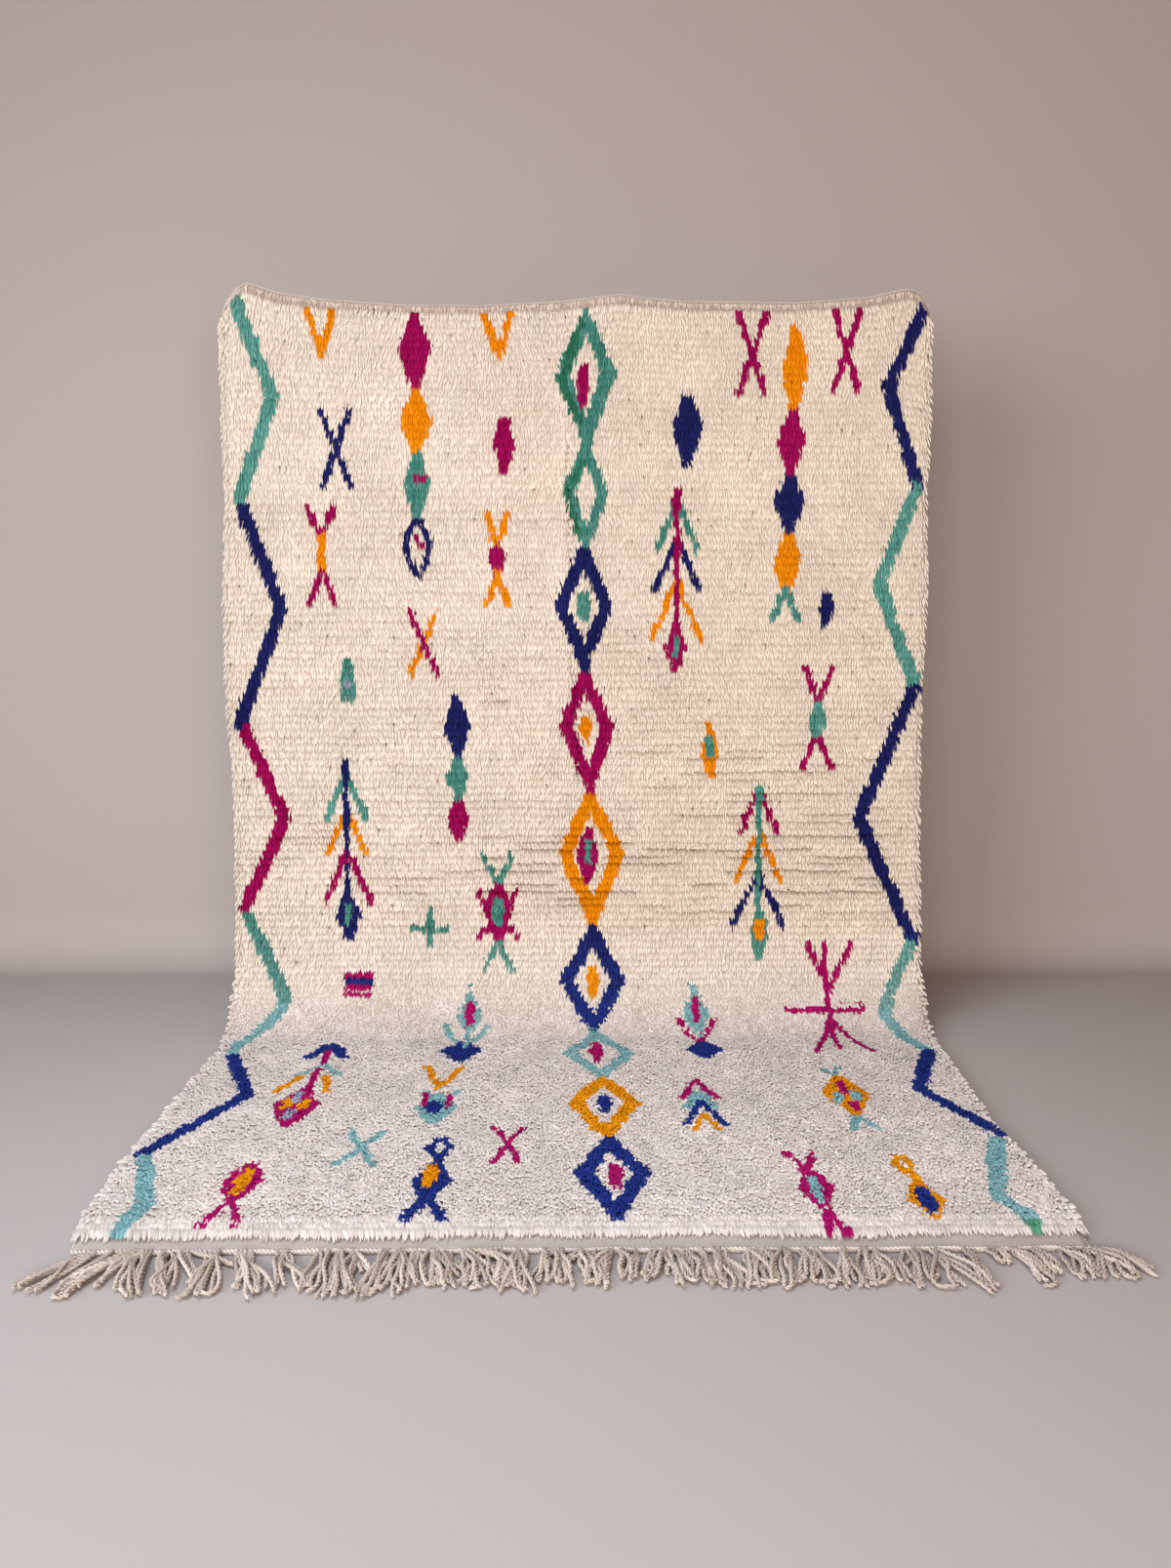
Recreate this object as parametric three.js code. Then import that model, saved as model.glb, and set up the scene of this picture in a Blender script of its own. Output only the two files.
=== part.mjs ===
// Knotted wool rug, hung by its upper end so that its lower end turns forward and lies on the floor.
// Millimetres, +Z up. The rug hangs at +Y and lies towards -Y, with X across its width.
// The origin is the middle of the floor space that the rug and its fringe cover.

import * as THREE from 'three';
import { mergeVertices } from 'three/addons/utils/BufferGeometryUtils.js';

// Half of the rug's nominal width, between its side edges
const HALF_WIDTH = 750;

// Sizes along the rug, measured down the warp from the upper end
const CLOTH_LENGTH = 2535;
const UPPER_BAND = 16;
const LOWER_BAND = 38;
const PILE_RAMP = 14;
const PILE_OVERLAP = 2;

// Thicknesses
const GROUND_THICKNESS = 5;
const PILE_THICKNESS = 20;
const SIDE_RAMP = 16;
const EDGE_PILE = 0.35;

// How the rug hangs: its upper end stands this high, leans back, and turns onto the floor
const TOP_HEIGHT = 1589;
const LEAN = Math.atan(0.0263);
const BEND_RADIUS = 168;

// The upper end is held at three places and sags between them
const SAG_FADE = 450;
const CURL_BACK = 9;
const CURL_LENGTH = 28;

// Soft ridge down the middle of the hanging part, left from folding the rug in half
const RIDGE_ACROSS = 4;
const RIDGE_HEIGHT = 8;
const RIDGE_HALF_WIDTH = 60;
const RIDGE_FROM = 120;
const RIDGE_TO = 1150;
const RIDGE_FADE = 160;

// Fringe
const JOINT_GAP = 0.3;
const SPINE_DEPTH = 12;
const FRINGE_THICKNESS = 14;
const TIP_GAP = 3;
const TOOTH_NECK = 0.8;
const TOOTH_POINT = 0.4;
const MERGE_DISTANCE = 0.01;

// Grid of the rug's two faces
const CURL_ROW = 7;
const HANG_STEP = 62;
const BEND_STEP = 22;
const FLOOR_STEP = 85;
const ACROSS_STEP = 60;

// Upper edge: how far below the nominal upper end it is, from the left corner to the right
const UPPER_EDGE = [
  { across: -750, drop: 52 },
  { across: -738, drop: 24 },
  { across: -716, drop: -4 },
  { across: -694, drop: -14 },
  { across: -632, drop: 6 },
  { across: -522, drop: 21 },
  { across: -360, drop: 31 },
  { across: -195, drop: 31 },
  { across: -32, drop: 23 },
  { across: 56, drop: 12 },
  { across: 95, drop: 8 },
  { across: 140, drop: 15 },
  { across: 227, drop: 22 },
  { across: 462, drop: 25 },
  { across: 618, drop: 14 },
  { across: 701, drop: -4 },
  { across: 728, drop: 4 },
  { across: 750, drop: 44 },
];

// Side edges, which wander a little as hand-woven ones do
const SIDE_EDGES = [
  { down: 0, left: 748, right: 746 },
  { down: 250, left: 748, right: 749 },
  { down: 440, left: 746, right: 746 },
  { down: 614, left: 756, right: 755 },
  { down: 820, left: 756, right: 748 },
  { down: 1065, left: 748, right: 750 },
  { down: 1290, left: 748, right: 757 },
  { down: 1420, left: 753, right: 762 },
  { down: 1550, left: 760, right: 769 },
  { down: 1700, left: 747, right: 758 },
  { down: 1930, left: 750, right: 751 },
  { down: 2070, left: 750, right: 744 },
  { down: 2260, left: 756, right: 753 },
  { down: 2440, left: 752, right: 757 },
  { down: 2535, left: 736, right: 749 },
];

// Bunches of the fringe: where each leaves the edge, where its end lies, its width and its reach
const BUNCHES = [
  { root: -722, tip: -772, width: 56, reach: 104 },
  { root: -668, tip: -700, width: 52, reach: 122 },
  { root: -612, tip: -640, width: 50, reach: 134 },
  { root: -566, tip: -590, width: 44, reach: 128 },
  { root: -516, tip: -534, width: 44, reach: 132 },
  { root: -462, tip: -474, width: 50, reach: 134 },
  { root: -408, tip: -412, width: 44, reach: 116 },
  { root: -350, tip: -358, width: 40, reach: 126 },
  { root: -308, tip: -308, width: 40, reach: 118 },
  { root: -262, tip: -262, width: 42, reach: 128 },
  { root: -206, tip: -196, width: 44, reach: 104 },
  { root: -148, tip: -142, width: 48, reach: 102 },
  { root: -92, tip: -84, width: 42, reach: 116 },
  { root: -40, tip: -34, width: 42, reach: 106 },
  { root: 8, tip: 12, width: 40, reach: 100 },
  { root: 58, tip: 56, width: 36, reach: 96 },
  { root: 104, tip: 106, width: 40, reach: 100 },
  { root: 152, tip: 162, width: 46, reach: 104 },
  { root: 206, tip: 220, width: 46, reach: 108 },
  { root: 258, tip: 270, width: 40, reach: 104 },
  { root: 308, tip: 318, width: 40, reach: 104 },
  { root: 366, tip: 370, width: 42, reach: 106 },
  { root: 414, tip: 420, width: 40, reach: 98 },
  { root: 462, tip: 478, width: 46, reach: 122 },
  { root: 512, tip: 540, width: 48, reach: 122 },
  { root: 568, tip: 606, width: 46, reach: 90 },
  { root: 622, tip: 662, width: 44, reach: 88 },
  { root: 676, tip: 716, width: 44, reach: 90 },
  { root: 722, tip: 772, width: 56, reach: 84 },
];

const ARC_ANGLE = Math.PI / 2 - LEAN;
const ARC_LENGTH = BEND_RADIUS * ARC_ANGLE;
const ARC_CENTRE_TO_FOOT = BEND_RADIUS * (1 / Math.cos(LEAN) - Math.tan(LEAN));
const ARC_TOP = BEND_RADIUS * (1 - Math.sin(LEAN));
const HANG_LENGTH = (TOP_HEIGHT - ARC_TOP) / Math.cos(LEAN);
const FLOOR_LENGTH = CLOTH_LENGTH - HANG_LENGTH - ARC_LENGTH;
const FRINGE_REACH = Math.max(...BUNCHES.map((bunch) => bunch.reach));

// The foot is where the hanging back would meet the floor if the rug turned sharply
const BACK_REACH = TOP_HEIGHT * Math.tan(LEAN) + CURL_BACK;
const FRONT_REACH = ARC_CENTRE_TO_FOOT + FLOOR_LENGTH + JOINT_GAP + FRINGE_REACH;
const FOOT_Y = (FRONT_REACH - BACK_REACH) / 2;
const CLOTH_END_Y = FOOT_Y - ARC_CENTRE_TO_FOOT - FLOOR_LENGTH;

// Reads a column of a table at a place between two of its rows
function readTable(table, keyColumn, valueColumn, key) {
  const last = table.length - 1;
  if (key <= table[0][keyColumn]) {
    return table[0][valueColumn];
  }
  for (let i = 0; i < last; i += 1) {
    const low = table[i];
    const high = table[i + 1];
    if (key <= high[keyColumn]) {
      const share = (key - low[keyColumn]) / (high[keyColumn] - low[keyColumn]);
      return low[valueColumn] + share * (high[valueColumn] - low[valueColumn]);
    }
  }
  return table[last][valueColumn];
}

function smoothStep(from, to, value) {
  const share = Math.min(Math.max((value - from) / (to - from), 0), 1);
  return share * share * (3 - 2 * share);
}

// Where the back of the rug is at a distance along it, with the direction towards its front
function backCurve(along) {
  if (along < HANG_LENGTH) {
    const height = TOP_HEIGHT - along * Math.cos(LEAN);
    return {
      y: FOOT_Y + height * Math.tan(LEAN),
      z: height,
      outY: -Math.cos(LEAN),
      outZ: Math.sin(LEAN),
    };
  }
  if (along < HANG_LENGTH + ARC_LENGTH) {
    const turned = LEAN + (along - HANG_LENGTH) / BEND_RADIUS;
    return {
      y: FOOT_Y - ARC_CENTRE_TO_FOOT + BEND_RADIUS * Math.cos(turned),
      z: BEND_RADIUS * (1 - Math.sin(turned)),
      outY: -Math.cos(turned),
      outZ: Math.sin(turned),
    };
  }
  return {
    y: FOOT_Y - ARC_CENTRE_TO_FOOT - (along - HANG_LENGTH - ARC_LENGTH),
    z: 0,
    outY: 0,
    outZ: 1,
  };
}

function ridge(across, down) {
  const offset = (across - RIDGE_ACROSS) / RIDGE_HALF_WIDTH;
  if (Math.abs(offset) >= 1) {
    return 0;
  }
  const shape = (1 - offset * offset) ** 2;
  const begins = smoothStep(RIDGE_FROM - RIDGE_FADE / 2, RIDGE_FROM + RIDGE_FADE / 2, down);
  const ends = 1 - smoothStep(RIDGE_TO - RIDGE_FADE, RIDGE_TO, down);
  return RIDGE_HEIGHT * shape * begins * ends;
}

// A point of the rug, from its distance down the warp, its place across and its height off the back
function rugPoint(down, side, lift) {
  const column = side < 0 ? 'left' : 'right';
  const across = side * readTable(SIDE_EDGES, 'down', column, down);
  const fade = Math.max(1 - down / SAG_FADE, 0) ** 2;
  const along = down + readTable(UPPER_EDGE, 'across', 'drop', side * HALF_WIDTH) * fade;
  const place = backCurve(along);
  const curl = CURL_BACK * Math.max(1 - down / CURL_LENGTH, 0) ** 2;
  const out = lift + ridge(across, down);
  return [across, place.y + place.outY * out + curl, place.z + place.outZ * out];
}

// The pile stops short of the flat bands and thins towards the side edges
function thickness(down, side) {
  const fromUpper = smoothStep(UPPER_BAND, UPPER_BAND + PILE_RAMP, down);
  const pileEnd = CLOTH_LENGTH - LOWER_BAND;
  const fromLower = 1 - smoothStep(pileEnd - PILE_RAMP / 2, pileEnd + PILE_OVERLAP, down);
  const fromSide = (1 - Math.abs(side)) * HALF_WIDTH;
  const sideShare = EDGE_PILE + (1 - EDGE_PILE) * smoothStep(0, SIDE_RAMP, fromSide);
  const pile = (PILE_THICKNESS - GROUND_THICKNESS) * fromUpper * fromLower * sideShare;
  return GROUND_THICKNESS + pile;
}

// Distances down the warp at which the grid has a row, closer where the rug bends or its edge is
function gridRows() {
  const rows = [0, CURL_ROW, UPPER_BAND, UPPER_BAND + PILE_RAMP / 2, UPPER_BAND + PILE_RAMP];
  const pileEnd = CLOTH_LENGTH - LOWER_BAND;
  const hangRows = Math.round(HANG_LENGTH / HANG_STEP);
  for (let i = 1; i <= hangRows; i += 1) {
    rows.push((HANG_LENGTH * i) / hangRows);
  }
  const bendRows = Math.round(ARC_LENGTH / BEND_STEP);
  for (let i = 1; i <= bendRows; i += 1) {
    rows.push(HANG_LENGTH + (ARC_LENGTH * i) / bendRows);
  }
  const flat = pileEnd - PILE_RAMP - HANG_LENGTH - ARC_LENGTH;
  const flatRows = Math.round(flat / FLOOR_STEP);
  for (let i = 1; i <= flatRows; i += 1) {
    rows.push(HANG_LENGTH + ARC_LENGTH + (flat * i) / flatRows);
  }
  rows.push(pileEnd - PILE_RAMP / 2, pileEnd + PILE_OVERLAP, CLOTH_LENGTH);
  return rows;
}

// Shares of the half width at which the grid has a column: each row of the upper edge's table,
// evenly spaced ones between them, and one more where the pile thins towards each side
function gridColumns() {
  const columns = [];
  for (let i = 0; i + 1 < UPPER_EDGE.length; i += 1) {
    const from = UPPER_EDGE[i].across;
    const gap = UPPER_EDGE[i + 1].across - from;
    const parts = Math.ceil(gap / ACROSS_STEP);
    for (let j = 0; j < parts; j += 1) {
      columns.push((from + (gap * j) / parts) / HALF_WIDTH);
    }
  }
  columns.push(1);
  const ramp = 1 - SIDE_RAMP / 2 / HALF_WIDTH;
  return [...columns, -ramp, ramp].sort((a, b) => a - b);
}

function closedGeometry(points, triangles) {
  const geometry = new THREE.BufferGeometry();
  geometry.setAttribute('position', new THREE.Float32BufferAttribute(points.flat(), 3));
  geometry.setIndex(triangles.flat());
  geometry.computeVertexNormals();
  return geometry;
}

// The rug is one closed sheet: a front grid, a back grid and a wall round the four edges
function rugGeometry() {
  const rows = gridRows();
  const columns = gridColumns();
  const points = [];
  for (const isFront of [true, false]) {
    for (const down of rows) {
      for (const side of columns) {
        points.push(rugPoint(down, side, isFront ? thickness(down, side) : 0));
      }
    }
  }
  const wide = columns.length;
  const layer = rows.length * wide;
  const triangles = [];
  const addQuad = (a, b, c, d) => triangles.push([a, b, c], [a, c, d]);
  for (let i = 0; i + 1 < rows.length; i += 1) {
    for (let j = 0; j + 1 < wide; j += 1) {
      const a = i * wide + j;
      addQuad(a, a + wide, a + wide + 1, a + 1);
      addQuad(layer + a, layer + a + 1, layer + a + wide + 1, layer + a + wide);
    }
  }
  for (let j = 0; j + 1 < wide; j += 1) {
    const end = (rows.length - 1) * wide + j;
    addQuad(j, j + 1, layer + j + 1, layer + j);
    addQuad(end + 1, end, layer + end, layer + end + 1);
  }
  for (let i = 0; i + 1 < rows.length; i += 1) {
    const left = i * wide;
    const right = left + wide - 1;
    addQuad(left + wide, left, layer + left, layer + left + wide);
    addQuad(right, right + wide, layer + right + wide, layer + right);
  }
  return closedGeometry(points, triangles);
}

// The fringe is one comb: a spine along the rug's edge and a flat tooth for each bunch
function fringeGeometry() {
  const rootY = CLOTH_END_Y - JOINT_GAP;
  const spineY = rootY - SPINE_DEPTH;
  const leftEnd = BUNCHES[0].root - BUNCHES[0].width / 2;
  const lastBunch = BUNCHES[BUNCHES.length - 1];
  const rightEnd = lastBunch.root + lastBunch.width / 2;
  const outline = new THREE.Shape();
  outline.moveTo(rightEnd, rootY);
  outline.lineTo(leftEnd, rootY);
  let freeFrom = -Infinity;
  for (const bunch of BUNCHES) {
    const half = bunch.width / 2;
    const tipLeft = Math.max(bunch.tip - half, freeFrom);
    const tipRight = bunch.tip + half;
    const tipY = rootY - bunch.reach;
    outline.lineTo(bunch.root - half * TOOTH_NECK, spineY);
    outline.lineTo(tipLeft, tipY + half * TOOTH_POINT);
    outline.lineTo(bunch.tip, tipY);
    outline.lineTo(tipRight, tipY + half * TOOTH_POINT);
    outline.lineTo(bunch.root + half * TOOTH_NECK, spineY);
    freeFrom = tipRight + TIP_GAP;
  }
  outline.closePath();
  const geometry = new THREE.ExtrudeGeometry(outline, { depth: FRINGE_THICKNESS, bevelEnabled: false });
  geometry.deleteAttribute('normal');
  geometry.deleteAttribute('uv');
  const merged = mergeVertices(geometry, MERGE_DISTANCE);
  merged.computeVertexNormals();
  return merged;
}

const woolMaterial = new THREE.MeshStandardMaterial({ color: 0xe8d7be, roughness: 0.95, metalness: 0 });
const cordMaterial = new THREE.MeshStandardMaterial({ color: 0xc9bcae, roughness: 0.95, metalness: 0 });

const rug = new THREE.Mesh(rugGeometry(), woolMaterial);
rug.name = 'rug';

const fringe = new THREE.Mesh(fringeGeometry(), cordMaterial);
fringe.name = 'fringe';

const model = new THREE.Group();
model.add(rug, fringe);

export default model;
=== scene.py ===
"""Azilal rug with a knotted wool pile, hung by its upper edge and turned forward onto the floor.

Metres, +Z up. The rug hangs at +Y and lies towards -Y, with X across its width. Its ground is one closed
woven sheet. Every yarn end of the pile is a strand of its own, rooted in a knot row, and takes its wool
from a chart of lines and figures. Cords twisted from two plies make the ropes and the fringe.
"""

import itertools
import math

import bpy
import numpy as np
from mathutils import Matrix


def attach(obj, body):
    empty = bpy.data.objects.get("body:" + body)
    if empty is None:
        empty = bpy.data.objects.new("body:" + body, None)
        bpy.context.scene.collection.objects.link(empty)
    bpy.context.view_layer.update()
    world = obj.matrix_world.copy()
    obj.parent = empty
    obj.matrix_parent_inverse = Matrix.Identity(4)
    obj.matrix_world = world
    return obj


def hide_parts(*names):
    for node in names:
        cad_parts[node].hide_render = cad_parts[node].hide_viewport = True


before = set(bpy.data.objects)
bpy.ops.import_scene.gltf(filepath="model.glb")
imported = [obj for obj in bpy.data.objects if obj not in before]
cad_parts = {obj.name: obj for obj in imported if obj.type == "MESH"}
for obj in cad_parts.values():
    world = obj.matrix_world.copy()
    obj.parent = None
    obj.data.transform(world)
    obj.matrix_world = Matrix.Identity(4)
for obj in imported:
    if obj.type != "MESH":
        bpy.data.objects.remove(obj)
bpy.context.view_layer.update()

# The rug, as in the model: its size, how it hangs and how it bends onto the floor
HALF_WIDTH = 0.750
CLOTH_LENGTH = 2.535
GROUND_THICKNESS = 0.005
TOP_HEIGHT = 1.589
LEAN = math.atan(0.0263)
BEND_RADIUS = 0.168
SAG_FADE = 0.450
CURL_BACK = 0.009
CURL_LENGTH = 0.028
RIDGE_ACROSS = 0.004
RIDGE_HEIGHT = 0.008
RIDGE_HALF_WIDTH = 0.060
RIDGE_FROM = 0.120
RIDGE_TO = 1.150
RIDGE_FADE = 0.160

# Upper edge: how far below the nominal upper end it is, from the left corner to the right (across, drop)
UPPER_EDGE = np.array([
    (-0.750, 0.052), (-0.738, 0.024), (-0.716, -0.004), (-0.694, -0.014), (-0.632, 0.006),
    (-0.522, 0.021), (-0.360, 0.031), (-0.195, 0.031), (-0.032, 0.023), (0.056, 0.012),
    (0.095, 0.008), (0.140, 0.015), (0.227, 0.022), (0.462, 0.025), (0.618, 0.014),
    (0.701, -0.004), (0.728, 0.004), (0.750, 0.044),
])

# Side edges, which wander a little (down, left, right)
SIDE_EDGES = np.array([
    (0.000, 0.748, 0.746), (0.250, 0.748, 0.749), (0.440, 0.746, 0.746), (0.614, 0.756, 0.755),
    (0.820, 0.756, 0.748), (1.065, 0.748, 0.750), (1.290, 0.748, 0.757), (1.420, 0.753, 0.762),
    (1.550, 0.760, 0.769), (1.700, 0.747, 0.758), (1.930, 0.750, 0.751), (2.070, 0.750, 0.744),
    (2.260, 0.756, 0.753), (2.440, 0.752, 0.757), (2.535, 0.736, 0.749),
])

FRINGE_REACH = 0.134
JOINT_GAP = 0.0003
ARC_TO_FOOT = BEND_RADIUS * (1 / math.cos(LEAN) - math.tan(LEAN))
ARC_LENGTH = BEND_RADIUS * (math.pi / 2 - LEAN)
HANG_LENGTH = (TOP_HEIGHT - BEND_RADIUS * (1 - math.sin(LEAN))) / math.cos(LEAN)
FLOOR_LENGTH = CLOTH_LENGTH - HANG_LENGTH - ARC_LENGTH
FOOT_Y = (ARC_TO_FOOT + FLOOR_LENGTH + JOINT_GAP + FRINGE_REACH
          - TOP_HEIGHT * math.tan(LEAN) - CURL_BACK) / 2
CLOTH_END_Y = FOOT_Y - ARC_TO_FOOT - FLOOR_LENGTH

# Knots: rows down the rug, knots along each row, and wisps of wool to each knot
ROW_COUNT = 159
FIRST_ROW = 0.0185
LAST_ROW = 2.479
ROW_PITCH = (LAST_ROW - FIRST_ROW) / (ROW_COUNT - 1)
KNOTS_PER_ROW = 147
HANGING_STRANDS = 3
LYING_STRANDS = 6
LYING_ROW = 104
# How much shorter every other wisp is where the rug hangs
SHORT_TIER = 0.19
# How far the wisps' normals lean towards the pile's own
SOFT_NORMAL = 0.52
# Packed roots of the pile hide the ground up to this height, where it hangs and where it lies
ROOT_HEIGHT = 0.0098
LYING_ROOT_HEIGHT = 0.0150

# Painted shade on the pile, by the distance along the hanging line: darker where the rug turns, and in its
# last rows
TURN_DARKENS = (1.37, 1.57)
TURN_CLEARS = (1.60, 1.72)
TURN_DARKNESS = 0.23
LAST_ROWS = (2.38, 2.44)
LAST_DARKNESS = 0.04

# Camera, at the photograph's viewing angle
CAMERA_PLACE = (-0.003, -2.197, 0.939)
CAMERA_TURN = (math.radians(81.86), 0.0, math.radians(-0.46))
CAMERA_LENS = 29.12
CAMERA_SENSOR = 36.0


def smooth_step(start, end, value):
    share = np.clip((value - start) / (end - start), 0.0, 1.0)
    return share * share * (3 - 2 * share)


def between(start, end, fade, value):
    """1 from start to end, and 0 beyond a fade at each of them."""
    return smooth_step(start - fade, start + fade, value) * (1 - smooth_step(end - fade, end + fade, value))


def drift(seed, *axes):
    """Smooth noise from -1 to 1, over one or two axes that are in cells."""
    rng = np.random.default_rng(seed)
    first = np.asarray(axes[0], float)
    second = np.asarray(axes[1], float) if len(axes) > 1 else np.zeros_like(first)
    first = first - first.min()
    second = second - second.min()
    cells = rng.uniform(-1, 1, (int(first.max()) + 2, int(second.max()) + 2))
    i, j = first.astype(int), second.astype(int)
    a = smooth_step(0, 1, first - i)
    b = smooth_step(0, 1, second - j)
    near = cells[i, j] * (1 - a) + cells[i + 1, j] * a
    far = cells[i, j + 1] * (1 - a) + cells[i + 1, j + 1] * a
    return near * (1 - b) + far * b


# Shape of the rug

def along_back(down, side):
    """Distance along the hanging line, which starts lower where the upper edge sags."""
    drop = np.interp(side * HALF_WIDTH, UPPER_EDGE[:, 0], UPPER_EDGE[:, 1])
    return down + drop * np.maximum(1 - down / SAG_FADE, 0) ** 2


def edge_distance(down, side):
    left = np.interp(down, SIDE_EDGES[:, 0], SIDE_EDGES[:, 1])
    right = np.interp(down, SIDE_EDGES[:, 0], SIDE_EDGES[:, 2])
    return np.where(side < 0, left, right)


def turned_angle(along):
    return LEAN + np.clip((along - HANG_LENGTH) / BEND_RADIUS, 0, math.pi / 2 - LEAN)


def lying_share(along):
    """0 where the rug hangs, rising to 1 where it lies on the floor."""
    return smooth_step(HANG_LENGTH - 0.04, HANG_LENGTH + ARC_LENGTH * 0.9, along)


def painted_turn_shade(along):
    """Painted shade: how much darker the pile is where the rug turns onto the floor, and in its last rows."""
    turn = smooth_step(*TURN_DARKENS, along) * (1 - smooth_step(*TURN_CLEARS, along))
    return 1 - TURN_DARKNESS * turn - LAST_DARKNESS * smooth_step(*LAST_ROWS, along)


def ridge(across, down):
    shape = np.maximum(1 - ((across - RIDGE_ACROSS) / RIDGE_HALF_WIDTH) ** 2, 0) ** 2
    begins = smooth_step(RIDGE_FROM - RIDGE_FADE / 2, RIDGE_FROM + RIDGE_FADE / 2, down)
    return RIDGE_HEIGHT * shape * begins * (1 - smooth_step(RIDGE_TO - RIDGE_FADE, RIDGE_TO, down))


def rug_points(down, side, lift):
    """Points of the rug, from the distance down the warp, the place across and the height off the back."""
    down, side, lift = np.broadcast_arrays(*(np.asarray(x, float) for x in (down, side, lift)))
    across = side * edge_distance(down, side)
    along = along_back(down, side)
    angle = turned_angle(along)
    above = np.maximum(HANG_LENGTH - along, 0)
    beyond = np.maximum(along - HANG_LENGTH - ARC_LENGTH, 0)
    out = lift + ridge(across, down)
    curl = CURL_BACK * np.maximum(1 - down / CURL_LENGTH, 0) ** 2
    y = (FOOT_Y - ARC_TO_FOOT + BEND_RADIUS * np.cos(angle) + math.sin(LEAN) * above - beyond
         - np.cos(angle) * out + curl)
    z = BEND_RADIUS * (1 - np.sin(angle)) + math.cos(LEAN) * above + np.sin(angle) * out
    return np.stack([across, y, z], -1)


def rug_outward(down, side):
    """Direction that the pile's side faces."""
    angle = turned_angle(along_back(down, side))
    return np.stack([np.zeros_like(angle), -np.cos(angle), np.sin(angle)], -1)


# Chart of the figures

# The figures are plain diamonds, forks, crosses, trees and strokes, placed as (across, down) in centimetres
# from the middle of the upper end. Each gives a list of shapes: kind, wool, width and points. Their stepped
# edges come from the rows of knots.

# Widths of strokes
ZIGZAG = 3.0
KNOT = 2.1
STROKE = 1.6
THIN = 1.4
# How far down a diamond is widest, as a share, and half the width of its blunt ends
WAIST = 0.47
BLUNT = 0.8
# Length of the knot at the top of a tree
KNOT_LENGTH = 4.5
# How much of its width a stroke is drawn in by at its ends
CAP = 0.4
# What the wisps add to a stroke's width where the rug hangs and where it lies, from LYING_FROM down
HANGING_SPREAD = 0.20
LYING_SPREAD = 0.14
LYING_FROM = 168
# Scatter of the spots, and how far around a shape they are looked at
SCATTER = 0.04
NEARBY = 3
WOOLS = ["cream", "navy", "magenta", "orange", "teal", "green", "aqua", "lilac"]


def stroke(wool, width, *points):
    """A line through the points."""
    return [("stroke", wool, width, list(points))]


def diamond(wool, across, top, bottom, half, margin=0, lean=0):
    """A diamond with blunt ends, filled, or with only a margin. Its bottom is moved aside by lean."""
    waist = top + WAIST * (bottom - top)
    middle = across + WAIST * lean
    low = across + lean
    outline = [(across - BLUNT, top), (across + BLUNT, top), (middle + half, waist), (low + BLUNT, bottom),
               (low - BLUNT, bottom), (middle - half, waist)]
    return [("margin" if margin else "fill", wool, margin, outline)]


def fork(wool, width, across, root, reach, rise):
    """Two strokes that part from the root, down by rise, or up where rise is negative."""
    return [shape for side in (-reach, reach)
            for shape in stroke(wool, width, (across, root), (across + side, root + rise))]


def cross(wool, width, across, middle, reach, rise, other=None):
    """Two strokes across each other, the second one in another wool if that is given."""
    return (stroke(wool, width, (across + reach, middle - rise), (across - reach, middle + rise))
            + stroke(other or wool, width, (across - reach, middle - rise), (across + reach, middle + rise)))


def tree(across, top, tiers, stem, foot):
    """A stem with a knot at its top and a fork in each tier: wool, root, reach and rise."""
    shapes = [shape for wool, *fall in tiers for shape in fork(wool, STROKE, across, *fall)]
    shapes += stroke(stem, THIN, (across, top), (across, foot))
    return shapes + stroke(stem, KNOT, (across, top), (across, top + KNOT_LENGTH))


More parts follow.
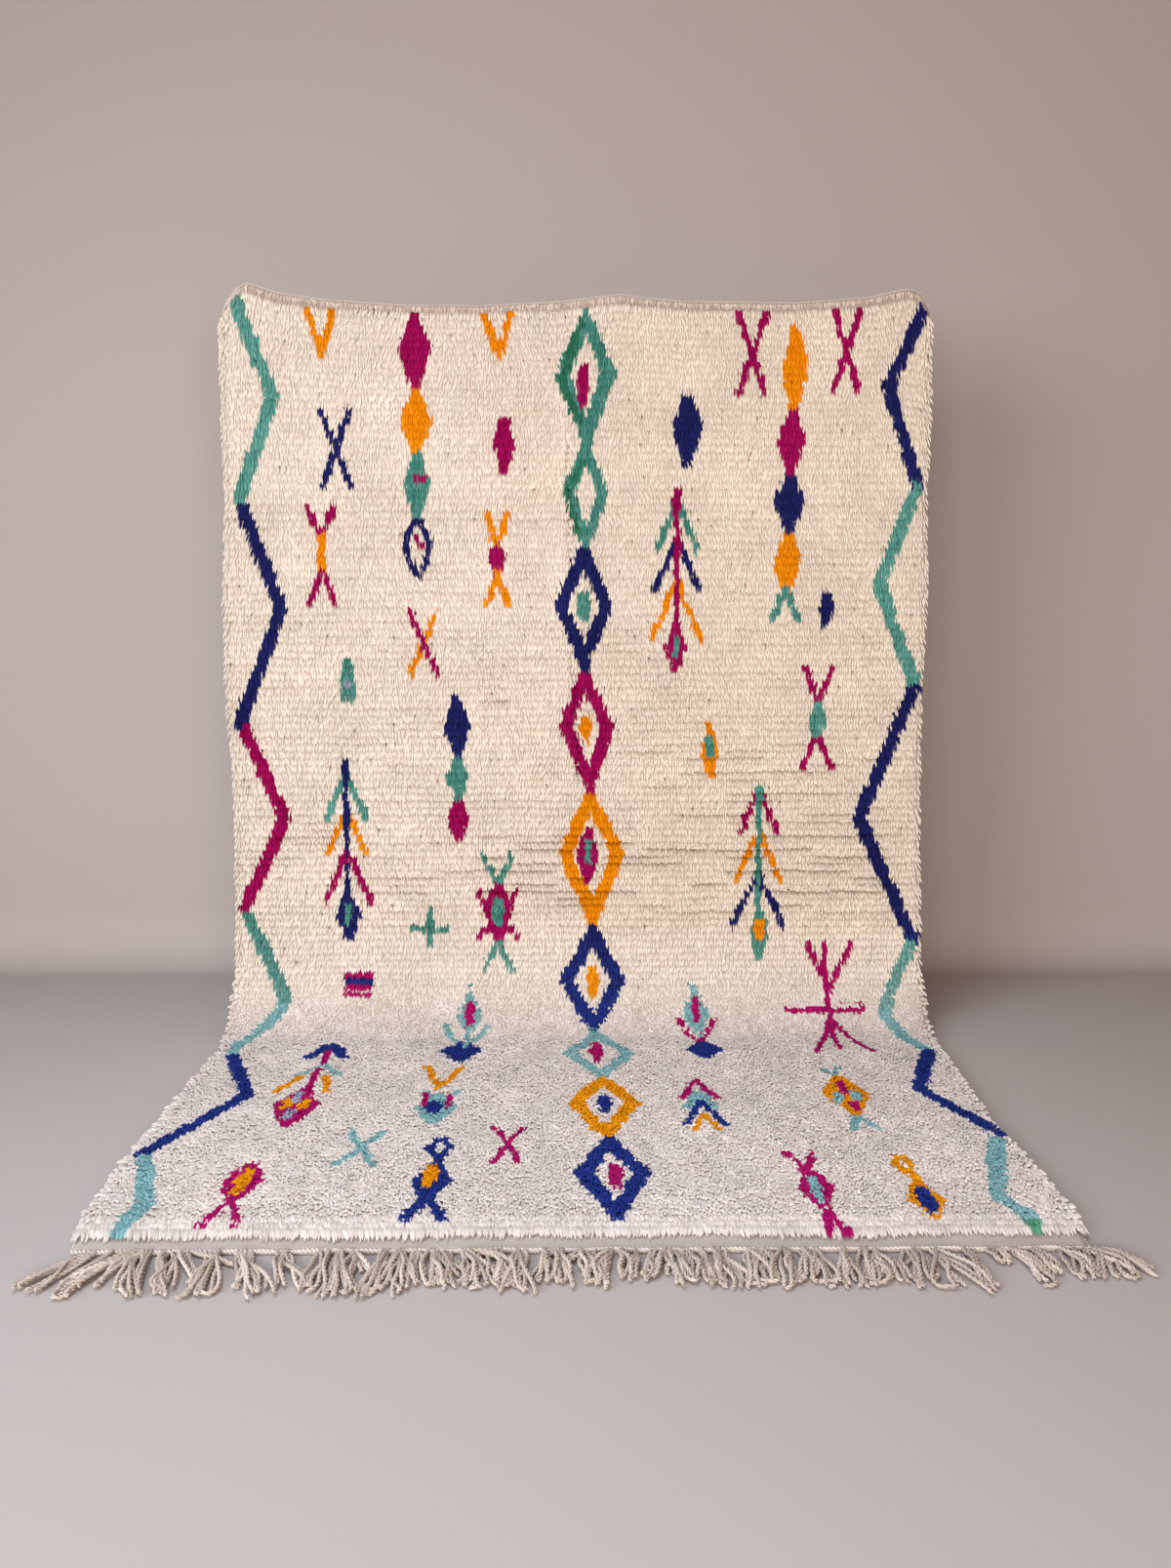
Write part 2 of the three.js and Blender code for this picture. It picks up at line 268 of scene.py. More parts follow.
CHART = [
    # Left zigzag
    stroke("teal", ZIGZAG, (-72.5, 0.5), (-64, 22), (-72, 44.5)),
    stroke("navy", ZIGZAG, (-71.5, 44), (-63.5, 66.5), (-73.5, 92.5)),
    stroke("magenta", ZIGZAG, (-72.5, 92), (-64, 112), (-73.5, 133)),
    stroke("teal", ZIGZAG, (-73, 133), (-63.5, 155)),
    stroke("aqua", ZIGZAG, (-64, 154.5), (-71.5, 169), (-71, 175.5)),
    stroke("navy", ZIGZAG, (-71, 175), (-62.5, 197), (-74, 224)),
    stroke("aqua", ZIGZAG, (-73, 223), (-67, 241), (-70, 255)),
    # Right zigzag
    stroke("navy", ZIGZAG, (74, 2), (66, 20), (73, 41)),
    stroke("teal", ZIGZAG, (73, 40.5), (65, 61), (73.5, 83.5)),
    stroke("navy", ZIGZAG, (73.5, 83), (62, 112.5), (75, 140.5)),
    stroke("teal", ZIGZAG, (74.5, 140), (67, 157.5)),
    stroke("aqua", ZIGZAG, (67, 157), (73, 174)),
    stroke("navy", ZIGZAG, (73.5, 173), (65.5, 194.5), (74.5, 216.5)),
    stroke("aqua", ZIGZAG, (73, 216.5), (66, 239), (69, 247)),
    stroke("green", KNOT, (68.5, 246), (69.5, 255)),
    # Chain of diamonds down the middle, each with a small heart
    diamond("teal", 2, 4.5, 32, 6.5, margin=2.9),
    stroke("green", KNOT, (1, 6), (-3, 19), (0.5, 28)),
    diamond("magenta", 1.5, 15.5, 24, 1.5),
    diamond("teal", 2, 32, 53.5, 5, margin=2.4),
    stroke("green", THIN, (1.5, 34.5), (-2, 42.5), (0.5, 51.5)),
    diamond("navy", 1.5, 53.5, 79.5, 6.5, margin=2.8),
    diamond("teal", 1.5, 62.5, 69.5, 1.5),
    diamond("magenta", 1.5, 79.5, 106, 6, margin=2.7, lean=1.5),
    diamond("orange", 2, 89, 95, 1.5),
    diamond("orange", 3, 106, 136.5, 7.5, margin=3.1, lean=0.5),
    diamond("magenta", 2.5, 115, 126.5, 2.5),
    diamond("teal", 2.5, 118, 123, 0.5),
    diamond("navy", 3.5, 136.5, 163, 7.5, margin=3.0),
    diamond("orange", 3.5, 145.5, 153.5, 1.5),
    diamond("aqua", 4, 163, 188.5, 7.5, margin=2.5, lean=1),
    diamond("magenta", 4, 168.5, 180, 1.5),
    diamond("orange", 5, 188, 217, 7, margin=2.9),
    diamond("navy", 5, 197.5, 206, 1.5),
    diamond("navy", 5.5, 216.5, 246.5, 6.5, margin=3.0, lean=0.5),
    diamond("magenta", 6, 227, 236, 1.5),
    # Left half, from the upper end down
    fork("orange", 1.8, -53.5, 13.5, 3, -9.5),
    fork("orange", 1.8, -16.5, 14, 3, -9),
    diamond("magenta", -34, 5.5, 21, 3.5),
    diamond("orange", -34, 21, 34, 3.5),
    diamond("teal", -34, 34, 47, 3),
    stroke("magenta", STROKE, (-35, 39.5), (-32, 39.5)),
    diamond("navy", -34, 47, 60, 3.5, margin=1.3),
    stroke("magenta", STROKE, (-34.5, 51.5), (-33, 54)),
    cross("navy", STROKE, -51, 33, 3, 8),
    diamond("magenta", -15.5, 26, 38, 2.5),
    fork("magenta", STROKE, -54.5, 51.5, 3, -6.5),
    stroke("orange", KNOT, (-54.5, 51), (-54.5, 59.5)),
    fork("magenta", STROKE, -54.5, 58.5, 3, 7.5),
    fork("orange", STROKE, -17, 53, 2.5, -7.5),
    diamond("magenta", -17, 53, 59.5, 2),
    fork("orange", STROKE, -17, 59, 2.5, 7),
    cross("orange", STROKE, -33, 74, 3, 7, other="magenta"),
    diamond("teal", -49.5, 77, 81.5, 1.5),
    diamond("teal", -49.5, 80, 87, 2),
    stroke("lilac", THIN, (-49.5, 82), (-49.5, 84)),
    diamond("navy", -26, 85.5, 98.5, 3),
    diamond("teal", -26, 98.5, 108.5, 2.5),
    diamond("magenta", -26, 108, 117.5, 2.5),
    tree(-50.5, 99, [("teal", 102, 4.5, 11), ("orange", 111, 4.5, 9.5), ("magenta", 119, 5, 12)],
          "navy", 129.5),
    stroke("navy", KNOT, (-50.5, 109.5), (-50.5, 114)),
    stroke("magenta", STROKE, (-52, 121), (-49, 121)),
    diamond("navy", -50.5, 128.5, 139.5, 3),
    stroke("teal", STROKE, (-50.5, 131), (-50.5, 136.5)),
    stroke("teal", STROKE, (-32.5, 131), (-32.5, 141.5)),
    stroke("teal", STROKE, (-37, 137), (-28.5, 137)),
    fork("teal", STROKE, -17.5, 128, 3.5, -8),
    cross("magenta", STROKE, -17.5, 134, 4.5, 5),
    diamond("magenta", -17.5, 126.5, 140, 3.5),
    diamond("teal", -17.5, 129.5, 137, 1.5),
    fork("teal", STROKE, -17.5, 139.5, 3, 7),
    stroke("magenta", KNOT, (-51.5, 148), (-45, 148)),
    stroke("magenta", KNOT, (-51.5, 151.5), (-45, 151.5)),
    stroke("navy", KNOT, (-51.5, 149.5), (-45, 149.5)),
    stroke("aqua", KNOT, (-23.5, 151), (-23.5, 155)),
    diamond("aqua", -23.5, 153.5, 163, 3),
    diamond("magenta", -23.5, 154, 162, 1),
    fork("aqua", STROKE, -24, 171.5, 5, -11),
    diamond("navy", -24, 168, 180, 4.5),
    stroke("aqua", THIN, (-23.5, 161), (-23.5, 172)),
    fork("navy", 2.6, -51.5, 169, 4, 9),
    stroke("magenta", STROKE, (-51.5, 172.5), (-51.5, 181.5)),
    fork("aqua", THIN, -51, 181, 4.5, 6.5),
    stroke("orange", STROKE, (-54, 187), (-57.5, 196)),
    stroke("orange", STROKE, (-49.5, 187), (-47.5, 195.5)),
    stroke("magenta", STROKE, (-51.5, 183), (-51.5, 196)),
    diamond("magenta", -52, 193.5, 212, 4.5),
    stroke("lilac", KNOT, (-52.5, 195.5), (-52.5, 200.5)),
    stroke("orange", KNOT, (-54, 199), (-54, 204)),
    stroke("orange", KNOT, (-50.5, 199), (-50.5, 204)),
    stroke("lilac", KNOT, (-52.5, 204), (-52.5, 208.5)),
    fork("orange", STROKE, -26.5, 194, 3.5, -12),
    fork("aqua", STROKE, -26, 201, 3.5, -5.5),
    diamond("aqua", -26, 196, 211, 4),
    stroke("magenta", THIN, (-28.5, 196), (-28.5, 203)),
    stroke("magenta", THIN, (-24, 197), (-24, 203)),
    diamond("navy", -26.5, 200.5, 206, 2),
    cross("aqua", STROKE, -37, 220.5, 3.5, 7.5),
    cross("magenta", THIN, -12, 219.5, 2.5, 7.5),
    diamond("navy", -23.5, 216.5, 225.5, 2.5, margin=1.4),
    stroke("navy", STROKE, (-23.5, 224.5), (-23.5, 229)),
    diamond("navy", -23.5, 227, 240, 3.5),
    fork("navy", KNOT, -23.5, 238.5, 3, 8),
    diamond("orange", -24, 227.5, 235.5, 1.5),
    diamond("magenta", -54, 226.5, 241, 3.5),
    diamond("orange", -54, 228.5, 238, 1.5),
    fork("magenta", THIN, -54, 240, 3, 7.5),
    # Right half, from the upper end down
    cross("magenta", STROKE, 37, 13.5, 3, 8.5),
    cross("magenta", STROKE, 57, 13, 3, 9),
    diamond("orange", 46.5, 8, 25, 3, lean=-0.5),
    diamond("magenta", 46, 24.5, 38.5, 3, lean=-0.5),
    diamond("navy", 45.5, 38, 50.5, 3.5),
    diamond("orange", 45.5, 50.5, 63, 3, lean=-0.5),
    fork("teal", STROKE, 45, 62, 3, 7.5),
    diamond("navy", 23.5, 21, 36.5, 3.5),
    tree(21.5, 41.5, [("teal", 43.5, 4.5, 11), ("navy", 52, 5, 11), ("orange", 60.5, 5.5, 13)],
          "magenta", 71.5),
    stroke("magenta", KNOT, (21.5, 51), (21.5, 55)),
    diamond("magenta", 21.5, 70, 80, 2.5),
    diamond("teal", 21.5, 72, 76.5, 0.5),
    diamond("navy", 54, 62.5, 71, 1.5),
    fork("magenta", STROKE, 52.5, 87, 3, -8),
    diamond("teal", 52.5, 86.5, 95, 2),
    fork("magenta", STROKE, 52.5, 94, 3.5, 8),
    stroke("orange", THIN, (28.5, 91), (29, 95)),
    diamond("orange", 29, 93, 103, 2),
    stroke("teal", KNOT, (29, 94.5), (29, 99.5)),
    tree(40, 105, [("magenta", 105.5, 4.5, 11), ("orange", 115, 5, 11.5), ("navy", 124.5, 6, 12.5)],
          "teal", 134.5),
    diamond("teal", 40.5, 133, 144, 2),
    stroke("orange", KNOT, (40.5, 135), (40.5, 140)),
    fork("magenta", STROKE, 56, 151.5, 5, -11.5),
    stroke("magenta", STROKE, (55, 140), (55.5, 161)),
    stroke("magenta", KNOT, (46, 157), (63.5, 156.5)),
    fork("magenta", STROKE, 55.5, 159, 6, 16),
    stroke("magenta", STROKE, (55, 159), (55, 173)),
    stroke("aqua", KNOT, (26, 149.5), (26, 153.5)),
    diamond("aqua", 26, 152.5, 164, 3),
    diamond("magenta", 26, 153, 160.5, 1),
    stroke("aqua", THIN, (26.5, 162), (26.5, 170)),
    fork("magenta", STROKE, 26, 169, 4, -9.5),
    diamond("navy", 26.5, 168, 178.5, 4),
    fork("magenta", STROKE, 23, 189.5, 3.5, 10.5),
    fork("aqua", 2.6, 23, 196, 2.5, 8),
    fork("navy", THIN, 23, 200, 3.5, 12),
    fork("orange", STROKE, 23, 206.5, 2.5, 7.5),
    fork("aqua", THIN, 50.5, 188, 2, -5),
    diamond("orange", 51, 188, 207.5, 4.5),
    diamond("magenta", 51, 191, 197.5, 1),
    stroke("aqua", KNOT, (49, 196.5), (49, 202)),
    stroke("aqua", KNOT, (52.5, 195.5), (52.5, 200.5)),
    diamond("magenta", 51.5, 201, 205.5, 1),
    fork("aqua", STROKE, 51, 208, 3, 6),
    fork("magenta", THIN, 37.5, 230.5, 2.5, -8),
    diamond("magenta", 38, 229.5, 243, 3),
    diamond("aqua", 38, 232, 241, 1),
    fork("magenta", THIN, 38.5, 243.5, 2, 9),
    diamond("orange", 54, 224, 231.5, 2, margin=1.5),
    stroke("orange", STROKE, (54.5, 230.5), (54.5, 236)),
    diamond("orange", 54.5, 234, 246, 3),
    diamond("navy", 54.5, 235.5, 244.5, 1.5),
]


def distance_to_line(spots, start, end):
    start, end = np.array(start, float), np.array(end, float)
    step = end - start
    share = np.clip(((spots - start) @ step) / max(step @ step, 1e-9), 0, 1)
    return np.linalg.norm(spots - start - share[:, None] * step, axis=1)


def butt_ended(points, width):
    """The line's points, drawn in at both ends by what its round caps add."""
    line = np.array(points, float)
    first, last = line[1] - line[0], line[-2] - line[-1]
    line[0] += CAP * width * first / np.linalg.norm(first)
    line[-1] += CAP * width * last / np.linalg.norm(last)
    return [tuple(point) for point in line]


def inside_outline(spots, outline):
    inside = np.zeros(len(spots), bool)
    for (x1, y1), (x2, y2) in zip(outline, outline[1:] + outline[:1]):
        crosses = (y1 > spots[:, 1]) != (y2 > spots[:, 1])
        at = x1 + (spots[:, 1] - y1) * (x2 - x1) / (y2 - y1 if y2 != y1 else 1e-9)
        inside ^= crosses & (spots[:, 0] < at)
    return inside


def chart_wools(across, along, rng):
    """Index into WOOLS for each spot, given in metres. Later figures of the chart cover earlier ones."""
    spots = np.stack([across, along], -1) * 100
    spots += rng.normal(0, SCATTER, spots.shape)
    wools = np.zeros(len(spots), int)
    for kind, wool, width, points in itertools.chain(*CHART):
        if kind == "stroke":
            points = butt_ended(points, width)
        corners = np.array(points)
        near = ((spots > corners.min(0) - NEARBY) & (spots < corners.max(0) + NEARBY)).all(1)
        found = np.flatnonzero(near)
        some = spots[found]
        ends = points[1:] if kind == "stroke" else points[1:] + points[:1]
        away = np.min([distance_to_line(some, a, b) for a, b in zip(points, ends)], axis=0)
        if kind == "stroke":
            drawn = away < (width - np.where(some[:, 1] < LYING_FROM, HANGING_SPREAD, LYING_SPREAD)) / 2
        elif kind == "fill":
            drawn = inside_outline(some, points)
        else:
            drawn = inside_outline(some, points) & (away < width)
        wools[found[drawn]] = WOOLS.index(wool)
    return wools


# Meshes

def make_mesh(name, points, faces, material, smooth=True, uvs=None, values=None, corner_colour=None,
              normals=None):
    """An object from arrays. faces is a list of arrays of vertex numbers, one array for each number of
    corners, and uvs and corner_colour follow the same corners. values and normals are kept on the points."""
    mesh = bpy.data.meshes.new(name)
    corners = np.concatenate([f.ravel() for f in faces])
    counts = np.concatenate([np.full(len(f), f.shape[1]) for f in faces])
    mesh.vertices.add(len(points))
    mesh.vertices.foreach_set("co", np.ascontiguousarray(points, np.float32).ravel())
    mesh.loops.add(len(corners))
    mesh.loops.foreach_set("vertex_index", corners.astype(np.int32))
    mesh.polygons.add(len(counts))
    mesh.polygons.foreach_set("loop_start", (np.cumsum(counts) - counts).astype(np.int32))
    mesh.polygons.foreach_set("use_smooth", np.full(len(counts), smooth))
    for key, column in (values or {}).items():
        attribute = mesh.attributes.new(key, "FLOAT", "POINT")
        attribute.data.foreach_set("value", np.ascontiguousarray(column, np.float32).ravel())
    if normals is not None:
        attribute = mesh.attributes.new("custom_normal", "FLOAT_VECTOR", "POINT")
        attribute.data.foreach_set("vector", np.ascontiguousarray(normals, np.float32).ravel())
    mesh.update(calc_edges=True)
    if uvs is not None:
        layer = mesh.uv_layers.new(name="OFBake")
        layer.uv.foreach_set("vector", np.ascontiguousarray(uvs, np.float32).ravel())
    if corner_colour is not None:
        layer = mesh.color_attributes.new("dye", "FLOAT_COLOR", "CORNER")
        layer.data.foreach_set("color", np.ascontiguousarray(corner_colour, np.float32).ravel())
    mesh.materials.append(material)
    piece = bpy.data.objects.new(name, mesh)
    bpy.context.scene.collection.objects.link(piece)
    return piece


# Corners of a wisp: two rings of three and a tip
WISP_TURNS = (-2 * math.pi / 3, 0.0, 2 * math.pi / 3)
WISP_CORNERS = 7
# How far the normal at a wisp's tip leans forward
TIP_LEAN = 0.3
# Empty border of each strand's cell in the map
CELL_BORDER = 0.04


def unit(vectors):
    return vectors / np.linalg.norm(vectors, axis=-1, keepdims=True)


def strand_frames(centres, outs):
    """Directions at each ring of each strand: up, towards outs, and aside. The last step is a bare tip."""
    rings = centres.shape[1] - 1
    ahead = np.empty_like(centres[:, :rings])
    ahead[:, 1:] = centres[:, 2:] - centres[:, :-2]
    ahead[:, 0] = centres[:, 1] - centres[:, 0]
    ahead = unit(ahead)
    up = unit(outs[:, :rings] - (outs[:, :rings] * ahead).sum(-1, keepdims=True) * ahead)
    return ahead, up, np.cross(ahead, up)


def strand_cells(count, faces, cell_uvs, size):
    """Faces and map for many strands of the same shape. Each strand has a square cell of the map."""
    cells = math.ceil(math.sqrt(count))
    place = np.stack([np.arange(count) % cells, np.arange(count) // cells], -1)[:, None, None]
    all_faces, uvs = [], []
    per_strand = 1 + max(max(f) for group in faces for f in group)
    start = (np.arange(count) * per_strand)[:, None, None]
    for group, local in zip(faces, cell_uvs):
        all_faces.append((np.array(group)[None] + start).reshape(-1, len(group[0])))
        share = CELL_BORDER + (1 - 2 * CELL_BORDER) * np.array(local, float)[None] / size
        uvs.append(((place + share) / cells).reshape(-1, 2))
    return all_faces, np.concatenate(uvs)


def wool_mesh(name, centres, outs, radii, material, tones, shades):
    """Strands of wool as one mesh, each a wisp with a ridge along its top, two sides and a tip. Their
    normals lean towards the pile's own, because a wisp's fibres scatter light all round."""
    ahead, up, aside = strand_frames(centres, outs)
    count = len(centres)
    corners, facing = [], []
    for k in range(2):
        for turn in WISP_TURNS:
            away = math.cos(turn) * up[:, k] + math.sin(turn) * aside[:, k]
            corners.append(centres[:, k] + radii[:, k, None] * away)
            facing.append(unit(SOFT_NORMAL * outs[:, k] + (1 - SOFT_NORMAL) * away))
    corners.append(centres[:, 2])
    facing.append(unit(outs[:, 2] + TIP_LEAN * ahead[:, 1]))
    quads = [[1, 2, 5, 4], [0, 1, 4, 3]]
    quad_uv = [[(1, 0), (2, 0), (2, 1), (1, 1)], [(0, 0), (1, 0), (1, 1), (0, 1)]]
    tris = [[4, 5, 6], [3, 4, 6]]
    tri_uv = [[(1, 1), (2, 1), (1, 2)], [(0, 1), (1, 1), (1, 2)]]
    faces, uvs = strand_cells(count, (quads, tris), (quad_uv, tri_uv), (2, 2))
    values = {"tone": np.repeat(tones, WISP_CORNERS), "shade": np.repeat(shades, (3, 3, 1), axis=1)}
    return make_mesh(name, np.stack(corners, 1).reshape(-1, 3), faces, material, uvs=uvs, values=values,
                     normals=np.stack(facing, 1).reshape(-1, 3))


def cord_mesh(name, centres, outs, radii, sides, material, tones):
    """Plies of cord as one mesh, closed at both ends. centres is plies x steps x 3."""
    ahead, up, aside = strand_frames(centres, outs)
    count, steps, _ = centres.shape
    rings = steps - 1
    turn = 2 * np.pi * np.arange(sides) / sides
    ring = np.cos(turn)[:, None] * up[:, :, None] + np.sin(turn)[:, None] * aside[:, :, None]
    points = centres[:, :rings, None] + radii[:, :rings, None, None] * ring
    points = np.concatenate([points.reshape(count, -1, 3), centres[:, -1:], centres[:, :1]], 1)
    quads, quad_uv, tris, tri_uv = [], [], [], []
    for s in range(sides):
        t = (s + 1) % sides
        for k in range(rings - 1):
            quads.append([k * sides + s, k * sides + t, (k + 1) * sides + t, (k + 1) * sides + s])
            quad_uv.append([(s, k), (s + 1, k), (s + 1, k + 1), (s, k + 1)])
        last = (rings - 1) * sides
        tris.append([last + s, last + t, rings * sides])
        tri_uv.append([(s, rings - 1), (s + 1, rings - 1), (s + 0.5, rings)])
        tris.append([t, s, rings * sides + 1])
        tri_uv.append([(s + 1, rings), (s, rings), (s + 0.5, rings + 1)])
    faces, uvs = strand_cells(count, (quads, tris), (quad_uv, tri_uv), (sides, rings + 1))
    values = {"tone": np.repeat(tones, points.shape[1])}
    return make_mesh(name, points.reshape(-1, 3), faces, material, uvs=uvs, values=values)


# Materials

def new_material(name, plain, roughness=0.9, sheen=0.0, shine=0.06):
    """A cloth material, with its shader and the nodes that the looks hang from."""
    material = bpy.data.materials.new(name)
    material.use_nodes = True
    material.diffuse_color = (*plain, 1)
    shader = material.node_tree.nodes["Principled BSDF"]
    shader.inputs["Base Color"].default_value = (*plain, 1)
    shader.inputs["Roughness"].default_value = roughness
    shader.inputs["Specular IOR Level"].default_value = shine
    shader.inputs["Sheen Weight"].default_value = sheen
    shader.inputs["Sheen Roughness"].default_value = 0.6
    return material, shader


class Nodes:
    """Short ways to add and join a material's nodes."""

    def __init__(self, material):
        self.tree = material.node_tree

    def add(self, kind, **settings):
        node = self.tree.nodes.new("ShaderNode" + kind)
        for key, value in settings.items():
            setattr(node, key, value)
        return node

    def join(self, source, target):
        self.tree.links.new(source, target)

    def fill(self, socket, value):
        if isinstance(value, bpy.types.NodeSocket):
            self.join(value, socket)
        else:
            socket.default_value = value

    def attribute(self, name, output="Fac"):
        return self.add("Attribute", attribute_name=name).outputs[output]

    def place(self):
        return self.add("TexCoord").outputs["Object"]

    def noise(self, scale, detail=2.0, place=None):
        node = self.add("TexNoise")
        self.join(place or self.place(), node.inputs["Vector"])
        node.inputs["Scale"].default_value = scale
        node.inputs["Detail"].default_value = detail
        return node.outputs["Fac"]

    def ramp(self, value, stops):
        node = self.add("ValToRGB")
        ramp = node.color_ramp
        for at, _ in stops[2:]:
            ramp.elements.new(at)
        for element, (at, colour) in zip(ramp.elements, stops):
            element.position = at
            element.color = (*colour, 1)
        self.fill(node.inputs["Fac"], value)
        return node.outputs["Color"]

    def mix(self, share, first, second, blend="MIX"):
        node = self.add("Mix", data_type="RGBA", blend_type=blend)
        self.fill(node.inputs[0], share)
        self.fill(node.inputs[6], first)
        self.fill(node.inputs[7], second)
        return node.outputs[2]

    def math(self, operation, first, second=0.0, clamp=False):
        node = self.add("Math", operation=operation, use_clamp=clamp)
        self.fill(node.inputs[0], first)
        self.fill(node.inputs[1], second)
        return node.outputs[0]

    def spread(self, value, low, high, to_low=0.0, to_high=1.0):
        node = self.add("MapRange")
        self.fill(node.inputs["Value"], value)
        for key, number in (("From Min", low), ("From Max", high), ("To Min", to_low), ("To Max", to_high)):
            node.inputs[key].default_value = number
        return node.outputs["Result"]

    def multiply(self, first, second):
        return self.math("MULTIPLY", first, second)

    def ripple(self, value, count):
        """Ridges, that many to each unit of the value."""
        return self.math("ABSOLUTE", self.math("SINE", self.multiply(value, math.pi * count)))

    def scale(self, colour, factor):
        node = self.add("VectorMath", operation="SCALE")
        self.join(colour, node.inputs[0])
        self.join(factor, node.inputs["Scale"])
        return node.outputs[0]

    def bump(self, shader, height, distance, strength=1.0):
        node = self.add("Bump")
        self.join(height, node.inputs["Height"])
        node.inputs["Distance"].default_value = distance
        node.inputs["Strength"].default_value = strength
        self.join(node.outputs["Normal"], shader.inputs["Normal"])


# Each wool's dark, middle and light yarns, then its middle where it lies on the floor, which is painted
# light: the same yarn, coloured for how the light falls there
WOOL_COLOURS = {
    "cream": ((0.605, 0.52, 0.435), (0.702, 0.615, 0.528), (0.785, 0.70, 0.62), (0.752, 0.673, 0.624)),
    "navy": ((0.006, 0.007, 0.057), (0.0105, 0.0125, 0.090), (0.020, 0.024, 0.135), (0.015, 0.029, 0.20)),
    "magenta": ((0.20, 0.001, 0.048), (0.29, 0.002, 0.076), (0.38, 0.008, 0.11), (0.40, 0.004, 0.125)),
    "orange": ((0.59, 0.135, 0.001), (0.71, 0.212, 0.001), (0.81, 0.315, 0.006), (0.79, 0.28, 0.002)),
    "teal": ((0.036, 0.17, 0.14), (0.072, 0.26, 0.222), (0.16, 0.40, 0.36), (0.15, 0.34, 0.32)),
    "green": ((0.009, 0.085, 0.048), (0.022, 0.14, 0.078), (0.050, 0.22, 0.14), (0.085, 0.33, 0.185)),
    "aqua": ((0.06, 0.20, 0.21), (0.11, 0.28, 0.30), (0.20, 0.40, 0.42), (0.20, 0.42, 0.455)),
    "lilac": ((0.17, 0.16, 0.26), (0.28, 0.27, 0.38), (0.40, 0.39, 0.50), (0.33, 0.33, 0.47)),
}


# Heights between which the wools change to their floor colours, painted light where the rug lies on the floor
PAINTED_FLOOR_LIGHT_HEIGHTS = (0.24, 0.02)
# What multiplies the cream on the right, and the wool's painted shade near its roots, which it turns browner
RIGHT_TINT = (0.985, 0.975, 0.935)
PAINTED_SHADE_TINT = (1.0, 0.90, 0.78)


def wool_material(wool):
    """A wool whose yarns differ in tone, with fibres and soft patches, painted shade that darkens it towards
    the roots, and painted light where it lies on the floor.
    """
    dark, middle, light, floor = WOOL_COLOURS[wool]
    sheen, shine = (0.12, 0.06) if wool == "cream" else (0.0, 0.0)
    material, shader = new_material("wool_" + wool, middle, 0.95, sheen, shine)
    nodes = Nodes(material)
    place = nodes.place()
    tone = nodes.attribute("tone")
    hung = nodes.ramp(tone, [(0.0, dark), (1.0, light), (0.45, middle)])
    # Painted light: where the rug lies on the floor, the wool takes its floor colour for how the light falls
    # there
    share = [f / m for f, m in zip(floor, middle)]
    lying = nodes.mix(1.0, hung, (*share, 1), "MULTIPLY")
    height = nodes.add("SeparateXYZ")
    nodes.join(place, height.inputs[0])
    low = nodes.spread(height.outputs["Z"], *PAINTED_FLOOR_LIGHT_HEIGHTS)
    if wool == "cream":
        tinted = nodes.mix(1.0, hung, (*RIGHT_TINT, 1), "MULTIPLY")
        rightward = nodes.spread(height.outputs["X"], -0.3, 0.5)
        rightward = nodes.math("ADD", rightward, nodes.noise(2.5, 2.0, place))
        hung = nodes.mix(nodes.spread(rightward, 0.5, 1.3), hung, tinted)
    colour = nodes.mix(low, hung, lying)
    patches = nodes.spread(nodes.noise(7.0, 3.0, place), 0.3, 0.7, 0.93, 1.05)
    fibres = nodes.spread(nodes.noise(420.0, 2.0, place), 0.3, 0.7, 0.90, 1.08)
    # Painted shade: the strands' shade attribute darkens the wool, and makes it browner, towards the roots
    rooted = nodes.attribute("shade")
    browner_shade = nodes.mix(nodes.spread(rooted, 0.85, 0.45), (1, 1, 1, 1), (*PAINTED_SHADE_TINT, 1))
    colour = nodes.mix(1.0, colour, browner_shade, "MULTIPLY")
    shade = nodes.multiply(nodes.multiply(patches, fibres), rooted)
    nodes.join(nodes.scale(colour, shade), shader.inputs["Base Color"])
    nodes.bump(shader, nodes.noise(900.0, 2.0, place), 0.0006, 0.6)
    return material


def cord_material(name, dark, middle, light):
    """Cotton and wool warp cords, grey-beige, with fibres along the twist."""
    material, shader = new_material(name, middle, roughness=0.95, sheen=0.1)
    nodes = Nodes(material)
    place = nodes.place()
    tone = nodes.attribute("tone")
    colour = nodes.ramp(tone, [(0.0, dark), (1.0, light), (0.5, middle)])
    grain = nodes.spread(nodes.noise(600.0, 3.0, place), 0.3, 0.7, 0.86, 1.10)
    nodes.join(nodes.scale(colour, grain), shader.inputs["Base Color"])
    nodes.bump(shader, nodes.noise(1100.0, 2.0, place), 0.0005, 0.6)
    return material


# Colours of the ground: its weave, that weave's darkest and lightest, the shaded bands and the edges
WEAVE = (0.52, 0.46, 0.40)
WEAVE_DARK = (0.45, 0.39, 0.345)
WEAVE_LIGHT = (0.57, 0.50, 0.45)
UPPER_BAND_SHADE = (0.34, 0.27, 0.225)
LOWER_BAND_SHADE = (0.43, 0.375, 0.345)
WEAVE_EDGE = (0.50, 0.44, 0.38)
# Threads of the weave to each row and to each knot
PICKS_PER_ROW = 9
ENDS_PER_KNOT = 4


